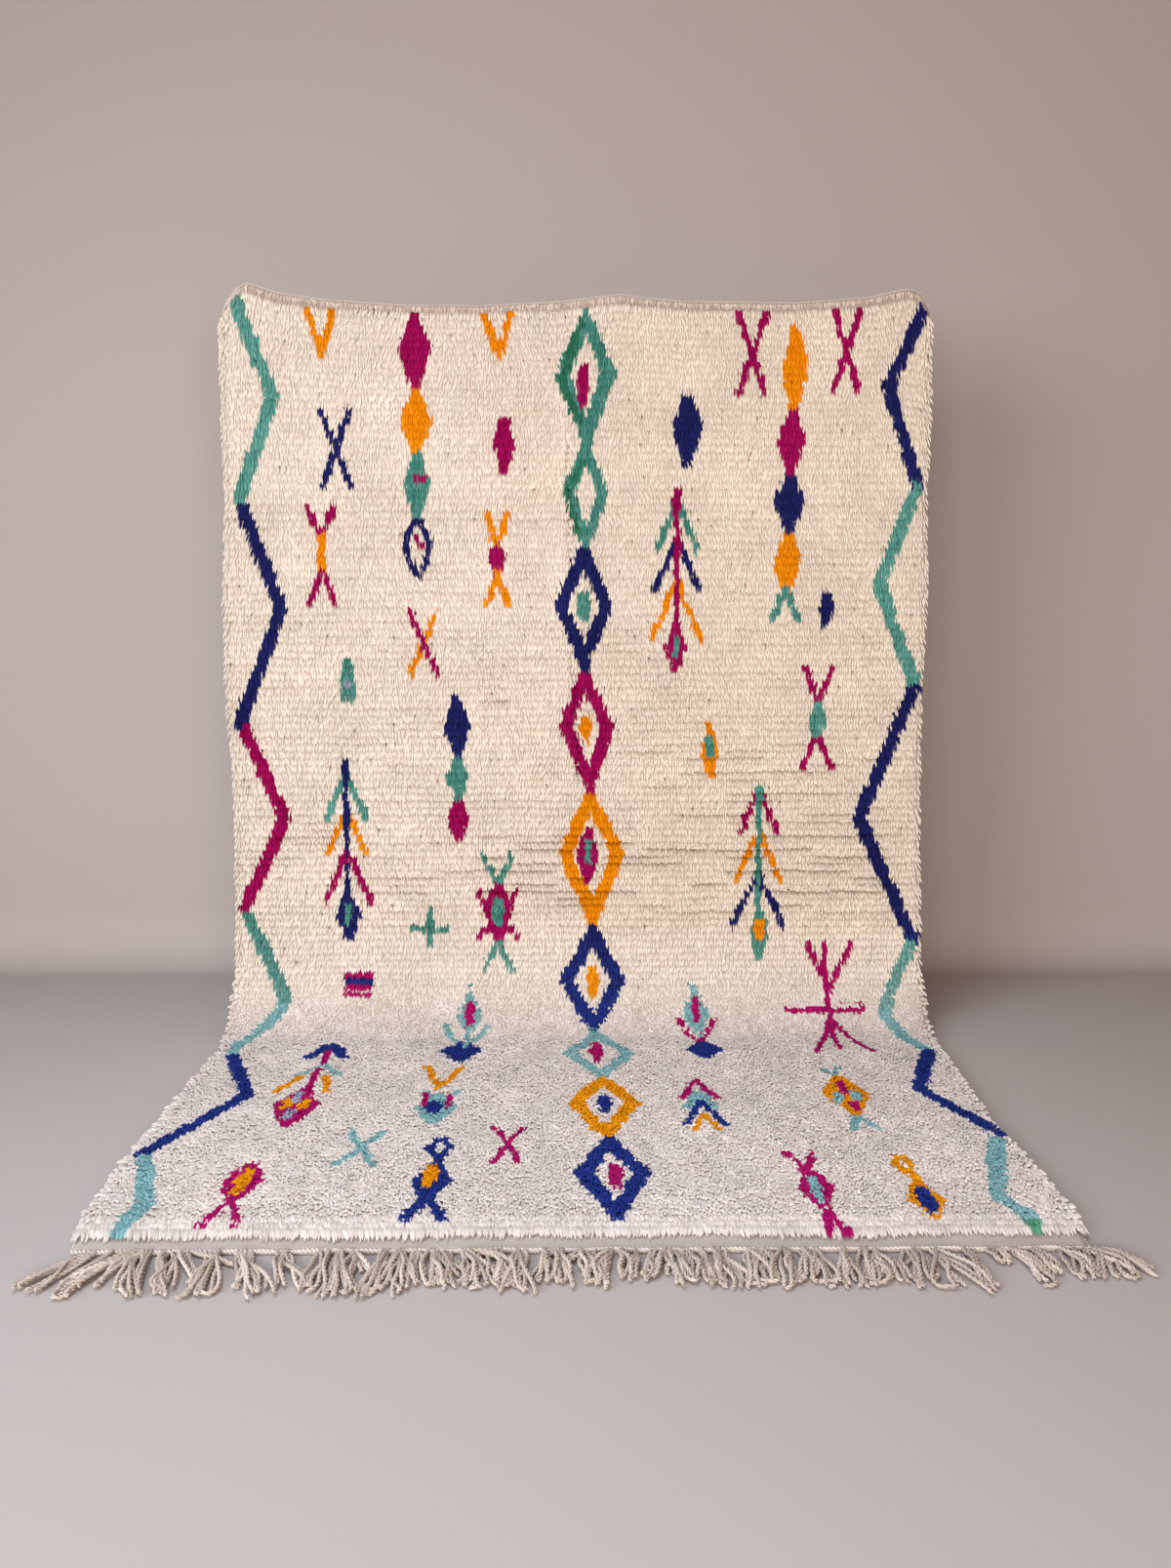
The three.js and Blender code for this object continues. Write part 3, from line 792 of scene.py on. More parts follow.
def ground_material():
    """The woven ground: flat-woven bands in front, and on the back a rib and a dot of wool at each knot."""
    material, shader = new_material("ground_weave", WEAVE, roughness=0.95)
    nodes = Nodes(material)
    place = nodes.place()
    down = nodes.attribute("down")
    column = nodes.attribute("column")
    dye = nodes.attribute("dye", "Color")
    mottled = nodes.ramp(nodes.noise(160.0, 4.0, place), [(0.3, WEAVE_DARK), (0.7, WEAVE_LIGHT)])
    rib = nodes.spread(nodes.ripple(down, 1), 0.45, 0.75)
    stitch = nodes.spread(nodes.ripple(column, 1), 0.25, 0.6)
    knot = nodes.multiply(nodes.multiply(rib, stitch), nodes.attribute("backed"))
    woven = nodes.mix(nodes.attribute("backed"), nodes.mix(0.7, mottled, dye), mottled)
    colour = nodes.mix(nodes.math("MAXIMUM", knot, nodes.attribute("piled")), woven, dye)
    nodes.join(colour, shader.inputs["Base Color"])
    picks = nodes.ripple(down, PICKS_PER_ROW)
    ends = nodes.ripple(column, ENDS_PER_KNOT)
    woven_height = nodes.multiply(nodes.math("ADD", picks, ends), 0.07)
    nodes.bump(shader, nodes.math("ADD", woven_height, knot), 0.0014)
    return material


# The woven ground

# Lines of the ground's grid in its bands, above and below those between the rows of knots
UPPER_LINES = (0.0, 0.006)
LOWER_LINES = (2.505, 2.520, CLOTH_LENGTH)
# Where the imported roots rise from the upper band, fall to the lower one and rise from the selvedges
PILE_RISES = (0.018, 0.038)
PILE_FALLS = (2.474, 2.492)
PILE_EDGE = 0.014
# Where the ground takes the colour of the pile
COLOUR_BEGINS = (0.0, 0.004)
COLOUR_ENDS = (2.486, 2.496)
# The front and back in the map: their size, and the corner of each
MAP_SIZE = (0.47, 0.98)
MAP_FRONT = (0.01, 0.01)
MAP_BACK = (0.52, 0.01)
MAP_WALLS = (0.485, 0.0)
# How far below its root a knot shows on the ground
KNOT_SHOWS = 0.012


def ground_sheet(rng):
    """One closed sheet under the pile. Each cell of its grid is a knot, seen from the back in its wool."""
    knot_lines = FIRST_ROW + ROW_PITCH * (np.arange(ROW_COUNT + 1) - 0.5)
    rows = np.concatenate([UPPER_LINES, knot_lines, LOWER_LINES])
    columns = np.linspace(-1, 1, KNOTS_PER_ROW + 1)
    down, side = (g.ravel() for g in np.meshgrid(rows, columns, indexing="ij"))
    tall, wide = len(rows), len(columns)
    lumps = 0.0008 * drift(11, down / 0.03, side * HALF_WIDTH / 0.03)
    piled = smooth_step(*PILE_RISES, down) * (1 - smooth_step(*PILE_FALLS, down))
    piled = piled * smooth_step(0, PILE_EDGE, HALF_WIDTH * (1 - np.abs(side)))
    lying = lying_share(along_back(down, side))
    roots = ROOT_HEIGHT + (LYING_ROOT_HEIGHT - ROOT_HEIGHT) * lying
    front = rug_points(down, side, GROUND_THICKNESS + lumps + (roots - GROUND_THICKNESS) * piled)
    back = rug_points(down, side, 0.0)
    layer = tall * wide
    i, j = (g.ravel() for g in np.meshgrid(np.arange(tall - 1), np.arange(wide - 1), indexing="ij"))
    a = i * wide + j
    top = np.stack([a, a + wide, a + wide + 1, a + 1], -1)
    under = layer + top[:, ::-1]
    j = np.arange(wide - 1)
    last = (tall - 1) * wide + j
    i = np.arange(tall - 1) * wide
    right = i + wide - 1
    walls = np.concatenate([
        np.stack([j, j + 1, layer + j + 1, layer + j], -1),
        np.stack([last + 1, last, layer + last, layer + last + 1], -1),
        np.stack([i + wide, i, layer + i, layer + i + wide], -1),
        np.stack([right, right + wide, layer + right + wide, layer + right], -1),
    ])
    faces = np.concatenate([top, under, walls])
    # The map has the front on its left half, the back on its right half and the walls along the middle
    flat = np.stack([(side + 1) / 2, 1 - down / CLOTH_LENGTH], -1)
    share = np.concatenate([flat * MAP_SIZE + MAP_FRONT, flat * MAP_SIZE + MAP_BACK])
    wall_uv = share[walls] * (0.02, 1.0) + MAP_WALLS
    uvs = np.concatenate([share[top].reshape(-1, 2), share[under].reshape(-1, 2), wall_uv.reshape(-1, 2)])
    middle_down = (down[top[:, 0]] + down[top[:, 1]]) / 2
    middle_side = (side[top[:, 0]] + side[top[:, 3]]) / 2
    along = along_back(middle_down, middle_side) + KNOT_SHOWS
    lying_middle = lying_share(along)
    wools = chart_wools(middle_side * edge_distance(middle_down, middle_side), along, rng)
    palette = np.array([WOOL_COLOURS[w][1] for w in WOOLS])
    dyes = palette[wools] * rng.uniform(0.75, 1.0, (len(wools), 1))
    below_pile = middle_down > LAST_ROW + ROW_PITCH / 2
    banded = (middle_down < FIRST_ROW + 0.002) | below_pile
    dyes[banded] = WEAVE
    # The packed roots in front: a little darker than the strands as painted shade, in their painted floor
    # light where the rug lies, and with the painted shade of the turn
    painted_floor_palette = np.array([WOOL_COLOURS[w][3] for w in WOOLS])
    packed = np.where(lying_middle[:, None] > 0.5, painted_floor_palette[wools], palette[wools] * 0.9)
    packed *= painted_turn_shade(along)[:, None]
    packed[banded] = UPPER_BAND_SHADE
    packed[below_pile] = LOWER_BAND_SHADE
    colours = np.concatenate([packed, dyes, np.tile(WEAVE_EDGE, (len(walls), 1))])
    colours = np.concatenate([colours, np.ones((len(colours), 1))], 1)
    coloured = smooth_step(*COLOUR_BEGINS, down) * (1 - smooth_step(*COLOUR_ENDS, down))
    values = {
        "down": np.tile((down - FIRST_ROW) / ROW_PITCH + 0.5, 2),
        "column": np.tile((side + 1) / 2 * KNOTS_PER_ROW, 2),
        "piled": np.concatenate([coloured, np.zeros_like(down)]),
        "backed": np.repeat((0.0, 1.0), layer),
    }
    return make_mesh("rug_ground", np.concatenate([front, back]), [faces], ground_material(),
                     uvs=uvs, values=values, corner_colour=np.repeat(colours, 4, axis=0))


# The pile

# Fold lines where the pile parts, with painted shade along them: across and down in metres from, and to, and
# how wide it opens
PARTINGS = [
    (-0.022, 0.28, -0.010, 0.62, 0.0035),
    (-0.004, 0.40, 0.000, 0.52, 0.0030),
    (-0.012, 0.72, 0.004, 1.05, 0.0018),
]

# Reach down the rug and height off the back, at a strand's root, middle and tip
HANGING_REACH = np.array([0.0035, 0.0150, 0.0255])
HANGING_HEIGHT = np.array([0.0098, 0.0140, 0.0132])
LYING_REACH = np.array([0.0005, 0.0070, 0.0130])
LYING_HEIGHT = np.array([0.0124, 0.0170, 0.0182])
# A strand's radius at its root, its middle and its bare tip, and what lying on the floor adds
STRAND_RADII = (0.0019, 0.0022, 0)
LYING_RADII = (0.0009, 0.0012, 0)
# How much of the root's shade each of them takes
SHADED = (1.6, 0.42, 0.0)
# How many times along a row the edges of the figures wander
WANDERS = 60

# Where the rows gape, with painted shade below the gaps: across from and to, down from and to, and how deep
GAPING_PARTS = [
    (-0.80, 0.80, 0.40, 1.38, 0.16), (-0.30, 0.70, 1.14, 1.33, 0.66), (-0.45, 0.10, 1.23, 1.32, 0.55),
    (-0.74, -0.50, 1.10, 1.26, 0.45), (-0.20, -0.05, 0.83, 0.88, 0.8), (0.10, 0.70, 0.95, 1.14, 0.45),
]
GAPS_ACROSS = 16
GAPE_FADE_ACROSS = 0.06
GAPE_FADE_ALONG = 0.03


def gape(gap, across, along):
    """How far the pile gapes above the given row, where it does."""
    depths = np.random.default_rng(33).uniform(-1, 1, (ROW_COUNT + 1, GAPS_ACROSS + 2))
    cell = np.clip((across / HALF_WIDTH + 1) / 2, 0, 1) * GAPS_ACROSS
    first = cell.astype(int)
    share = smooth_step(0, 1, cell - first)
    open_here = smooth_step(-0.1, 0.5, depths[gap, first] * (1 - share) + depths[gap, first + 1] * share)
    most = np.zeros(len(across))
    for from_across, to_across, from_along, to_along, depth in GAPING_PARTS:
        part = between(from_across, to_across, GAPE_FADE_ACROSS, across)
        most = np.maximum(most, depth * part * between(from_along, to_along, GAPE_FADE_ALONG, along))
    return most * open_here


def pile_strands(rng):
    """Where each strand is rooted, its path off the ground, its wool and its tone."""
    per_row = np.where(np.arange(ROW_COUNT) < LYING_ROW, HANGING_STRANDS, LYING_STRANDS) * KNOTS_PER_ROW
    row = np.repeat(np.arange(ROW_COUNT), per_row)
    count = len(row)
    place = np.arange(count) - np.repeat(np.cumsum(per_row) - per_row, per_row)
    share = (place + 0.5) / per_row[row]
    knot = row * KNOTS_PER_ROW + (share * KNOTS_PER_ROW).astype(int)
    knot_count = ROW_COUNT * KNOTS_PER_ROW
    side = share * 2 - 1 + rng.normal(0, 0.0005, count) / HALF_WIDTH
    down = FIRST_ROW + ROW_PITCH * row
    down = down + 0.0022 * drift(1, side * HALF_WIDTH / 0.07, row / 3.0) + rng.normal(0, 0.0012, count)
    lying = lying_share(along_back(down, side))
    inner = (row > 2) & (row < ROW_COUNT - 2)
    down = down + ROW_PITCH * 0.45 * lying * inner * rng.uniform(-1, 1, count)
    along = along_back(down, side)
    across = side * edge_distance(down, side)
    loose = np.clip(0.25 * smooth_step(0.5, 1.2, along) + lying, 0, 1)
    crease = smooth_step(0.5, 0.75, along) * (1 - smooth_step(1.28, 1.38, along))
    before_gap = gape(row + 1, across, along + ROW_PITCH)
    after_gap = gape(row, across, along)
    clump = lying * drift(12, across / 0.011, along / 0.011)
    parting_shade = np.zeros(count)

    # How the strand leans sideways: whole patches, then knots, then each strand of a knot
    patch = 0.0030 * drift(2, across / 0.07, along / 0.11) + 0.0016 * drift(3, across / 0.025, along / 0.04)
    knots = rng.normal(0, 0.0007, knot_count)[knot]
    aside = patch * (1 - 0.4 * loose) + knots * (1 + 0.4 * loose)
    aside = aside + rng.normal(0, 0.0007, count) * (1 + 1.2 * loose)
    for from_across, from_along, to_across, to_along, width in PARTINGS:
        passed = (along - from_along) / (to_along - from_along)
        line = from_across + (to_across - from_across) * passed + 0.003 * np.sin(along * 47)
        within = smooth_step(0, 0.12, passed) * (1 - smooth_step(0.88, 1, passed))
        off = across - line
        aside += within * np.sign(off) * width * np.exp(-np.abs(off) / 0.014)
        parting_shade += within * np.exp(-np.abs(off) / 0.004)
    aside += lying * 0.0032 * drift(14, across / 0.020, along / 0.020)
    at_edge = smooth_step(0.985, 1.0, np.abs(side)) * np.sign(side)
    aside += at_edge * (0.004 + 0.002 * rng.random(count))

    # How far it reaches down the rug and how far off the ground it stands, at each step of its path
    length = 1 + rng.normal(0, 0.12, count) * (0.7 + 0.3 * loose) + rng.normal(0, 0.04, knot_count)[knot]
    length += 0.05 * drift(4, across / 0.05, along / 0.05)
    short = (place + row + (rng.random(count) < 0.25)) % 2
    length *= 1 - SHORT_TIER * short * (1 - loose)
    length -= 0.06 * crease * (drift(8, row * 1.0, across / 0.10) > 0.1) + 0.26 * before_gap
    # Specks: a few short strands painted dark, painted shade in small gaps between the tufts
    shaded_speck = rng.random(count) < 0.009 * (1 - loose)
    length *= 1 - 0.4 * shaded_speck
    blend = loose[:, None]
    reach = (HANGING_REACH * (1 - blend) + LYING_REACH * blend) * length[:, None]
    height = HANGING_HEIGHT * (1 - blend) + LYING_HEIGHT * blend
    height = height + (rng.normal(0, 0.0004, count) * (1 + loose))[:, None] * (0.2, 1.0, 0.8)
    reach += loose[:, None] * rng.normal(0, 0.0025, count)[:, None] * (0.1, 0.7, 1.0)
    reach += (lying * 0.0034 * drift(13, across / 0.020, along / 0.020))[:, None] * (0.1, 0.7, 1.0)
    height += (0.0010 * clump)[:, None] * (0.0, 0.6, 1.0)

    # The last rows droop over the flat band
    drooping = smooth_step(ROW_COUNT - 4, ROW_COUNT - 1, row)[:, None]
    droop = 0.015 + 0.005 * drift(9, across / 0.16)
    reach += drooping * droop[:, None] * (0.0, 0.45, 1.0)
    height -= drooping * (0.001, 0.003, 0.009) * rng.uniform(0.7, 1.1, count)[:, None]

    step_aside = aside[:, None] * (0.0, 0.7, 1.1)
    steps_down = down[:, None] + reach
    steps_side = side[:, None] + step_aside / HALF_WIDTH
    centres = rug_points(steps_down, steps_side, height)
    outs = rug_outward(steps_down, steps_side)
    thick = rng.uniform(0.85, 1.15, count)[:, None]
    radii = thick * (STRAND_RADII + blend * LYING_RADII)

    # Each row's colours wander a little sideways, which gives the figures their stepped edges
    wander = rng.normal(0, 0.0018, (ROW_COUNT, WANDERS))[row, (share * WANDERS).astype(int)]
    row_down = FIRST_ROW + ROW_PITCH * row
    seen_down = row_down + 0.0130 * (1 - lying) + (down - row_down + 0.005) * lying
    seen_across = across + patch * 0.6 + wander
    wools = chart_wools(seen_across, along_back(seen_down, side), rng)
    # Painted shade: the lower part of each strand is darker, as in the shade among the roots, more so between
    # the rows that gape, along the partings and at the specks, and less in the floor's clumps
    painted_root_shade = 0.19 + 0.02 * crease - 0.13 * lying + rng.normal(0, 0.03, count) - 0.05 * clump
    painted_root_shade += 0.38 * after_gap + 0.35 * parting_shade + 0.5 * shaded_speck
    shades = 1 - np.clip(painted_root_shade, 0, 0.7)[:, None] * SHADED
    mottle = 1 + (0.025 + 0.045 * lying) * drift(15, across / 0.013, along / 0.018)
    mottle *= 1 + (0.015 + 0.025 * lying) * drift(16, across / 0.045, along / 0.045)
    mottle *= 1 + (0.01 + 0.04 * lying) * rng.normal(0, 1, knot_count)[knot].clip(-2, 2)
    # The painted shade of the turn also multiplies each strand's shade
    shades = shades * ((1 - 0.2 * shaded_speck) * mottle * painted_turn_shade(along))[:, None]
    tone = 0.50 + rng.normal(0, 0.13, count) + 0.09 * drift(5, across / 0.12, along / 0.12)
    tone += 0.05 * drift(6, row / 1.0) + rng.normal(0, 0.05, knot_count)[knot]
    # The figures' teal is darker than the zigzags' teal; the left zigzag's last teal, near the turn, is
    # darkened too, as painted shade
    darker = (np.abs(across) < 0.52) | ((across < 0) & (along > 1.25))
    tone -= 0.26 * (wools == WOOLS.index("teal")) * darker
    return centres, outs, radii, wools, np.clip(tone, 0, 1), shades


CREAM_PARTS = ("top", "upper", "lower", "floor")


def pile_pieces(rng):
    """One piece for each wool, and four for the cream, from the upper rows down."""
    centres, outs, radii, wools, tones, shades = pile_strands(rng)
    pieces = []
    for index, wool in enumerate(WOOLS):
        material = wool_material(wool)
        drawn = np.flatnonzero(wools == index)
        parts = np.array_split(drawn, len(CREAM_PARTS)) if wool == "cream" else [drawn]
        for part, chosen in enumerate(parts):
            name = "pile_" + wool + ("_" + CREAM_PARTS[part] if wool == "cream" else "")
            piece = wool_mesh(name, centres[chosen], outs[chosen], radii[chosen], material, tones[chosen],
                              shades[chosen])
            pieces.append(piece)
    return pieces


# Ropes and fringe

def resampled(path, steps):
    """The path's points, spaced evenly along it."""
    gaps = np.linalg.norm(np.diff(path, axis=0), axis=1)
    at = np.concatenate([[0], np.cumsum(gaps)])
    want = np.linspace(0, at[-1], steps)
    return np.stack([np.interp(want, at, path[:, k]) for k in range(3)], -1)


def twisted_plies(path, outward, offset, pitch, start, plies=2):
    """The centrelines of plies that wind round a path."""
    ahead = np.gradient(path, axis=0)
    ahead /= np.linalg.norm(ahead, axis=1, keepdims=True)
    up = outward - (outward * ahead).sum(1, keepdims=True) * ahead
    up /= np.linalg.norm(up, axis=1, keepdims=True)
    aside = np.cross(ahead, up)
    gaps = np.linalg.norm(np.diff(path, axis=0), axis=1)
    angle = start + 2 * np.pi * np.concatenate([[0], np.cumsum(gaps)]) / pitch
    found = []
    for ply in range(plies):
        turn = (angle + 2 * np.pi * ply / plies)[:, None]
        found.append(path + offset * (np.cos(turn) * up + np.sin(turn) * aside))
    return found


def rope(name, path, outward, radius, pitch, step, material, rng, snug=0.52):
    """A long two-ply rope along a path; the plies of a snug one lie deeper in each other."""
    length = np.linalg.norm(np.diff(path, axis=0), axis=1).sum()
    steps = int(length / step)
    line = resampled(path, steps)
    plies = np.array(twisted_plies(line, outward, radius * snug, pitch, 0.0))
    outs = np.broadcast_to(outward, plies.shape)
    radii = np.full(plies.shape[:2], radius * (1.08 - snug))
    return cord_mesh(name, plies, outs, radii, 5, material, rng.uniform(0.4, 0.6, 2))


# Fringe: where each bunch leaves the edge, then the ends of its cords as (across, reach), in millimetres
BUNCHES = [
    (-704, [(-769, 103), (-747, 116)]), (-674, [(-716, 125)]), (-652, [(-710, 108), (-691, 116)]),
    (-645, [(-664, 96)]), (-642, [(-610, 140), (-636, 118)]), (-628, [(-606, 118)]),
    (-600, [(-576, 140), (-564, 133)]), (-585, [(-570, 98)]), (-570, [(-546, 98)]),
    (-558, [(-490, 41)]), (-526, [(-538, 130), (-520, 135), (-512, 130)]),
    (-487, [(-441, 138), (-469, 116), (-434, 118)]), (-429, [(-416, 108), (-387, 118)]),
    (-366, [(-370, 111), (-353, 125)]), (-346, [(-341, 135), (-332, 130), (-319, 123)]),
    (-327, [(-309, 108), (-300, 67)]), (-277, [(-301, 130), (-293, 133)]),
    (-256, [(-276, 116), (-248, 128), (-228, 106)]), (-236, [(-229, 78)]),
    (-216, [(-206, 91), (-186, 101)]), (-201, [(-185, 98), (-174, 103), (-163, 83)]),
    (-155, [(-151, 98), (-139, 98), (-117, 85), (-86, 46)]), (-117, [(-112, 103), (-96, 98)]),
    (-86, [(-103, 116), (-71, 118), (-65, 108)]), (-43, [(-53, 98), (-43, 91)]),
    (-24, [(-26, 98), (-7, 108)]), (5, [(-24, 52), (13, 91)]), (22, [(20, 93)]),
    (45, [(28, 78), (38, 106)]), (64, [(63, 91)]), (83, [(74, 91)]), (110, [(94, 83)]),
    (129, [(107, 78), (124, 73), (138, 101)]), (149, [(168, 91), (151, 85)]),
    (177, [(185, 103), (199, 103)]), (203, [(205, 83), (215, 106), (235, 101)]),
    (246, [(239, 101), (246, 103), (268, 88)]), (269, [(274, 75), (278, 91)]),
    (299, [(288, 103), (299, 85)]), (327, [(312, 96), (330, 65)]), (346, [(334, 88), (347, 106)]),
    (390, [(367, 98), (375, 101), (390, 106)]), (417, [(401, 103), (409, 103)]),
    (434, [(428, 83), (450, 91)]), (485, [(469, 93), (503, 83), (475, 118)]),
    (518, [(531, 116), (563, 121)]), (569, [(561, 108), (577, 108)]), (605, [(611, 41)]),
    (635, [(645, 96), (664, 91)]), (664, [(676, 73)]), (709, [(713, 85), (728, 83)]),
    (754, [(741, 91), (759, 93), (780, 91)]), (767, [(808, 78), (814, 59)]),
]
CORDS_PER_END = 3.5
LONGEST_REACH = 128
CORD_STEPS = 26
PLY_RADIUS = 0.0021
PLY_OFFSET = 0.0018
PLY_PITCH = 0.019
# Height of a cord's middle off the floor, and the share of cords that end in a hook
CORD_REST = 0.0040
HOOKED = 0.16


def cord_path(root, tip, loose, rng):
    """A cord from the rug's edge to its end on the floor, slack, and over or under its neighbours."""
    root, tip = np.array(root), np.array(tip)
    across, reach = tip[0] - root[0], root[1] - tip[1]
    hook = rng.random() < HOOKED
    first = root + (0.25 * across + rng.normal(0, 0.012 * loose), -reach * rng.uniform(0.3, 0.5), 0.0)
    bend = rng.normal(0, 0.030 if hook else 0.013 * loose)
    second = tip + (bend, -0.016 if hook else reach * rng.uniform(0.15, 0.4), 0.0)
    share = np.linspace(0, 1, 60)[:, None]
    path = (root * (1 - share) ** 3 + 3 * first * share * (1 - share) ** 2
            + 3 * second * share ** 2 * (1 - share) + tip * share ** 3)
    share = share[:, 0]
    hump = rng.uniform(0.0, 0.010) * np.sin(math.pi * share ** rng.uniform(0.6, 1.2)) ** 2
    lifted = (root[2] - CORD_REST) * (1 - smooth_step(0, 0.3, share))
    curled = rng.uniform(0, 0.005) * smooth_step(0.8, 1.0, share)
    path[:, 2] = CORD_REST + hump + lifted + curled
    path[:, 0] += 0.0018 * np.sin(share * rng.uniform(7, 12) + rng.uniform(0, 6)) * smooth_step(0, 0.2, share)
    return resampled(path, CORD_STEPS)


def fringe_cords(rng):
    """Centrelines, outward directions, radii and tones of all the plies."""
    cords, tones = [], []
    for root_mm, ends in BUNCHES:
        count = max(2, round(len(ends) * CORDS_PER_END))
        loose = rng.uniform(0.35, 1.15)
        for k in range(count):
            tip_mm, reach_mm = ends[k % len(ends)]
            root_x = root_mm / 1000 + rng.normal(0, 0.0065 * loose)
            root = (root_x, CLOTH_END_Y + 0.002, rng.uniform(0.0035, 0.0070))
            tip_x = tip_mm / 1000 + rng.normal(0, 0.007 * loose)
            reach = min(reach_mm, LONGEST_REACH) / 1000 * rng.uniform(0.82, 1.02)
            path = cord_path(root, (tip_x, CLOTH_END_Y - reach, CORD_REST), loose, rng)
            up = np.broadcast_to((0.0, 0.0, 1.0), path.shape)
            cords.extend(twisted_plies(path, up, PLY_OFFSET, PLY_PITCH, rng.uniform(0, 2 * math.pi)))
            tones.extend([np.clip(rng.normal(0.5, 0.17), 0, 1)] * 2)
    centres = np.array(cords)
    outs = np.broadcast_to((0.0, 0.0, 1.0), centres.shape)
    share = np.linspace(0, 1, CORD_STEPS)
    radii = np.broadcast_to(PLY_RADIUS * (1 - 0.35 * smooth_step(0.93, 1, share)), centres.shape[:2])
    return centres, outs, radii, np.array(tones)


LOOP_COUNT = 1250


def upper_loops(rng):
    """Ends of warp that stand up along the flat upper band, over its shaded weave."""
    count = LOOP_COUNT
    halfway = (0.0, 0.5, 1.0)
    down = 0.002 + 0.005 * rng.random(count)[:, None]
    down = down + rng.uniform(0.006, 0.021, (count, 1)) * halfway
    side = rng.uniform(-0.99, 0.99, count)[:, None] + rng.normal(0, 0.0016, (count, 1)) * halfway
    height = np.array([0.0045, 0.0072, 0.0066]) + rng.normal(0, 0.0004, (count, 1))
    radii = rng.uniform(0.7, 1.3, (count, 1)) * (0.0009, 0.0010, 0)
    loop = cord_material("upper_loops", (0.38, 0.30, 0.25), (0.53, 0.435, 0.365), (0.70, 0.60, 0.52))
    shades = np.ones((count, 3)) * (0.75, 1.0, 1.0)
    return wool_mesh("upper_loops", rug_points(down, side, height), rug_outward(down, side), radii, loop,
                     rng.random(count), shades)


def ropes_and_fringe(rng):
    """The fringe, a rope along each end, the upper loops and a selvedge along each side."""
    cord = cord_material("warp_cord", (0.32, 0.255, 0.215), (0.475, 0.40, 0.35), (0.59, 0.515, 0.455))
    edge = cord_material("edge_cord", (0.40, 0.35, 0.31), (0.53, 0.47, 0.43), (0.66, 0.60, 0.56))
    centres, outs, radii, tones = fringe_cords(rng)
    fringe = cord_mesh("fringe_cords", centres, outs, radii, 4, cord, tones)
    side = np.linspace(-1.0, 1.0, 400)
    wander = 0.0012 * drift(21, side * HALF_WIDTH / 0.02)
    lower = rug_points(np.full_like(side, CLOTH_LENGTH - 0.001) + wander, side,
                       0.0052 + 0.001 * drift(22, side * HALF_WIDTH / 0.03))
    lower_rope = rope("lower_rope", lower, np.array((0.0, 0.0, 1.0)), 0.0036, 0.013, 0.0022, edge, rng)
    upper = rug_points(np.zeros_like(side) - 0.001, side, 0.003)
    upper_rope = rope("upper_rope", upper, np.array((0.0, -1.0, 0.0)), 0.0015, 0.010, 0.0028, edge, rng, 0.3)
    pieces = [fringe, lower_rope, upper_rope, upper_loops(rng)]
    down = np.linspace(0.004, CLOTH_LENGTH - 0.002, 700)
    for name, where in (("left_selvedge", -1.0), ("right_selvedge", 1.0)):
        line = rug_points(down, where, 0.0030)
        pieces.append(rope(name, line, np.array((where, 0.0, 0.0)), 0.0032, 0.016, 0.0040, edge, rng))
    return pieces


# The stage

def backdrop_profile():
    """The seamless backdrop's section: a short cove, then the wall."""
    start_y, radius, top, steps = 0.93, 0.14, 5.0, 12
    points = [(start_y - 0.4, 0.0), (start_y, 0.0)]
    for k in range(1, steps + 1):
        angle = math.pi / 2 * k / steps
        points.append((start_y + radius * math.sin(angle), radius * (1 - math.cos(angle))))
    return points + [(start_y + radius, top)]


def stage():
    """A plain floor, and a backdrop that can be seen through from behind."""
    wall_colour = (0.36, 0.318, 0.30)
    floor_colour = (0.414, 0.374, 0.362)
    floor, shader = new_material("stage_floor", floor_colour, roughness=0.8)
    wall, wall_shader = new_material("stage_wall", wall_colour, roughness=0.9)
    nodes = Nodes(wall)
    place = nodes.add("SeparateXYZ")
    nodes.join(nodes.place(), place.inputs[0])
    rising = nodes.ramp(place.outputs["Y"], [(0.55, floor_colour), (1.0, wall_colour)])
    nodes.join(rising, wall_shader.inputs["Base Color"])
    clear = nodes.add("BsdfTransparent").outputs[0]
    behind = nodes.add("NewGeometry").outputs["Backfacing"]
    mixed = nodes.add("MixShader")
    nodes.join(behind, mixed.inputs[0])
    nodes.join(wall_shader.outputs[0], mixed.inputs[1])
    nodes.join(clear, mixed.inputs[2])
    nodes.join(mixed.outputs[0], wall.node_tree.nodes["Material Output"].inputs["Surface"])
    half = 9.0
    below = -0.0008
    plane = np.array([(-half, -half, below), (half, -half, below), (half, half, below), (-half, half, below)])
    make_mesh("stage_floor", plane, [np.array([[0, 1, 2, 3]])], floor, smooth=False)
    profile = backdrop_profile()
    points = np.array([(x, y, z) for y, z in profile for x in (-half, half)])
    faces = np.array([[2 * k, 2 * k + 1, 2 * k + 3, 2 * k + 2] for k in range(len(profile) - 1)])
    make_mesh("stage_backdrop", points, [faces], wall)


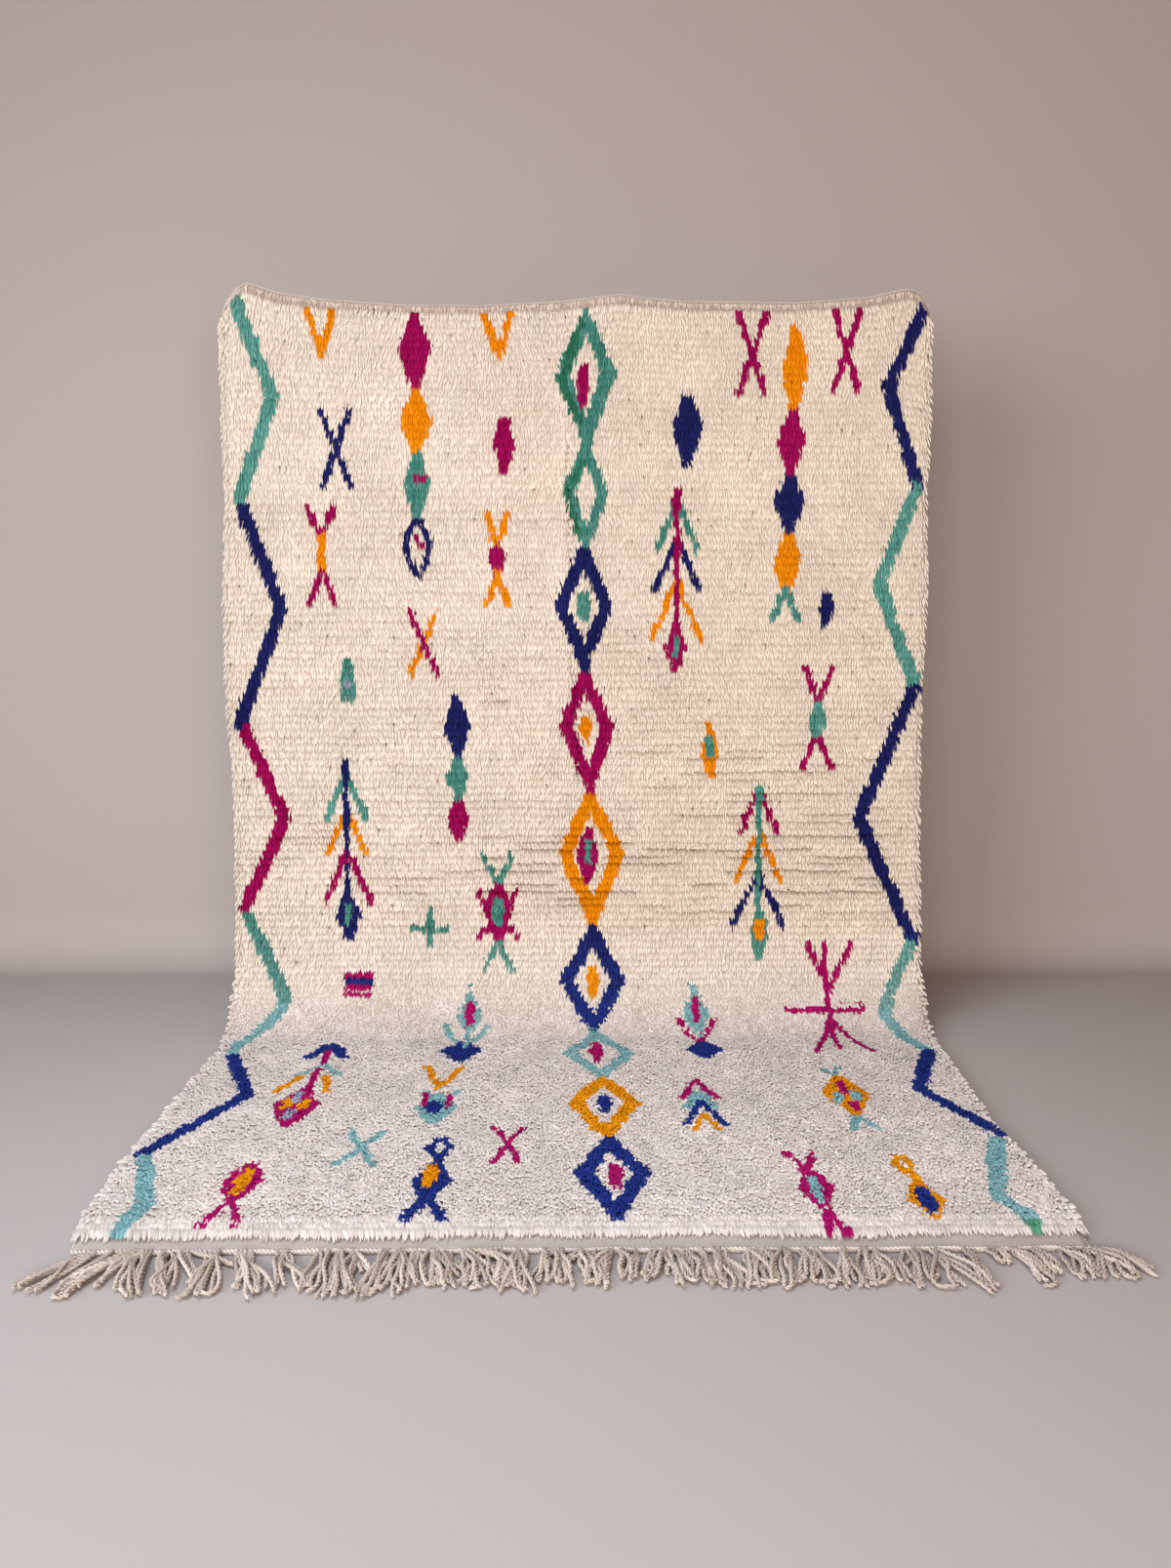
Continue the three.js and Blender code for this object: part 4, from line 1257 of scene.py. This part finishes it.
def light(name, place, target, size, power, colour, spread=180):
    """A soft lamp, turned to its target. size is its width and height, and spread is in degrees."""
    lamp = bpy.data.lights.new(name, "AREA")
    lamp.spread = math.radians(spread)
    lamp.shape = "RECTANGLE"
    lamp.size, lamp.size_y = size
    lamp.energy = power
    lamp.color = colour
    holder = bpy.data.objects.new(name, lamp)
    bpy.context.scene.collection.objects.link(holder)
    holder.location = place
    direction = np.array(target) - np.array(place)
    yaw = math.atan2(-direction[0], direction[1])
    pitch = math.atan2(direction[2], math.hypot(direction[0], direction[1]))
    holder.rotation_euler = (math.pi / 2 + pitch, 0, yaw)
    return holder


def lights_and_camera():
    scene = bpy.context.scene
    scene.view_settings.view_transform = "Standard"
    world = bpy.data.worlds.new("studio")
    scene.world = world
    world.use_nodes = True
    background = world.node_tree.nodes["Background"]
    background.inputs["Color"].default_value = (1.0, 0.61, 0.45, 1)
    background.inputs["Strength"].default_value = 0.24
    light("key", place=(-3.0, -3.0, 1.8), target=(0.1, 0.6, 0.7), size=(3.0, 2.4), power=53.3,
          colour=(0.815, 0.908, 1.0), spread=90)
    light("fill", place=(0.0, -4.4, 1.2), target=(0.0, 0.9, 0.8), size=(3.0, 1.4), power=197.8,
          colour=(1.0, 0.897, 0.805))
    light("over", place=(-1.0, -1.5, 4.2), target=(-0.5, -1.2, 0.0), size=(2.0, 2.0), power=27.0,
          colour=(0.72, 0.86, 1.0), spread=80)
    camera = bpy.data.cameras.new("camera")
    camera.lens = CAMERA_LENS
    camera.sensor_width = CAMERA_SENSOR
    holder = bpy.data.objects.new("camera", camera)
    scene.collection.objects.link(holder)
    holder.location = CAMERA_PLACE
    holder.rotation_euler = CAMERA_TURN
    scene.camera = holder


def build():
    lights_and_camera()
    stage()
    ground = ground_sheet(np.random.default_rng(7))
    pile = pile_pieces(np.random.default_rng(17))
    cords = ropes_and_fringe(np.random.default_rng(27))
    for piece in [ground, *pile, *cords]:
        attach(piece, "root")
    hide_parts("rug")
    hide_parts("fringe")


build()
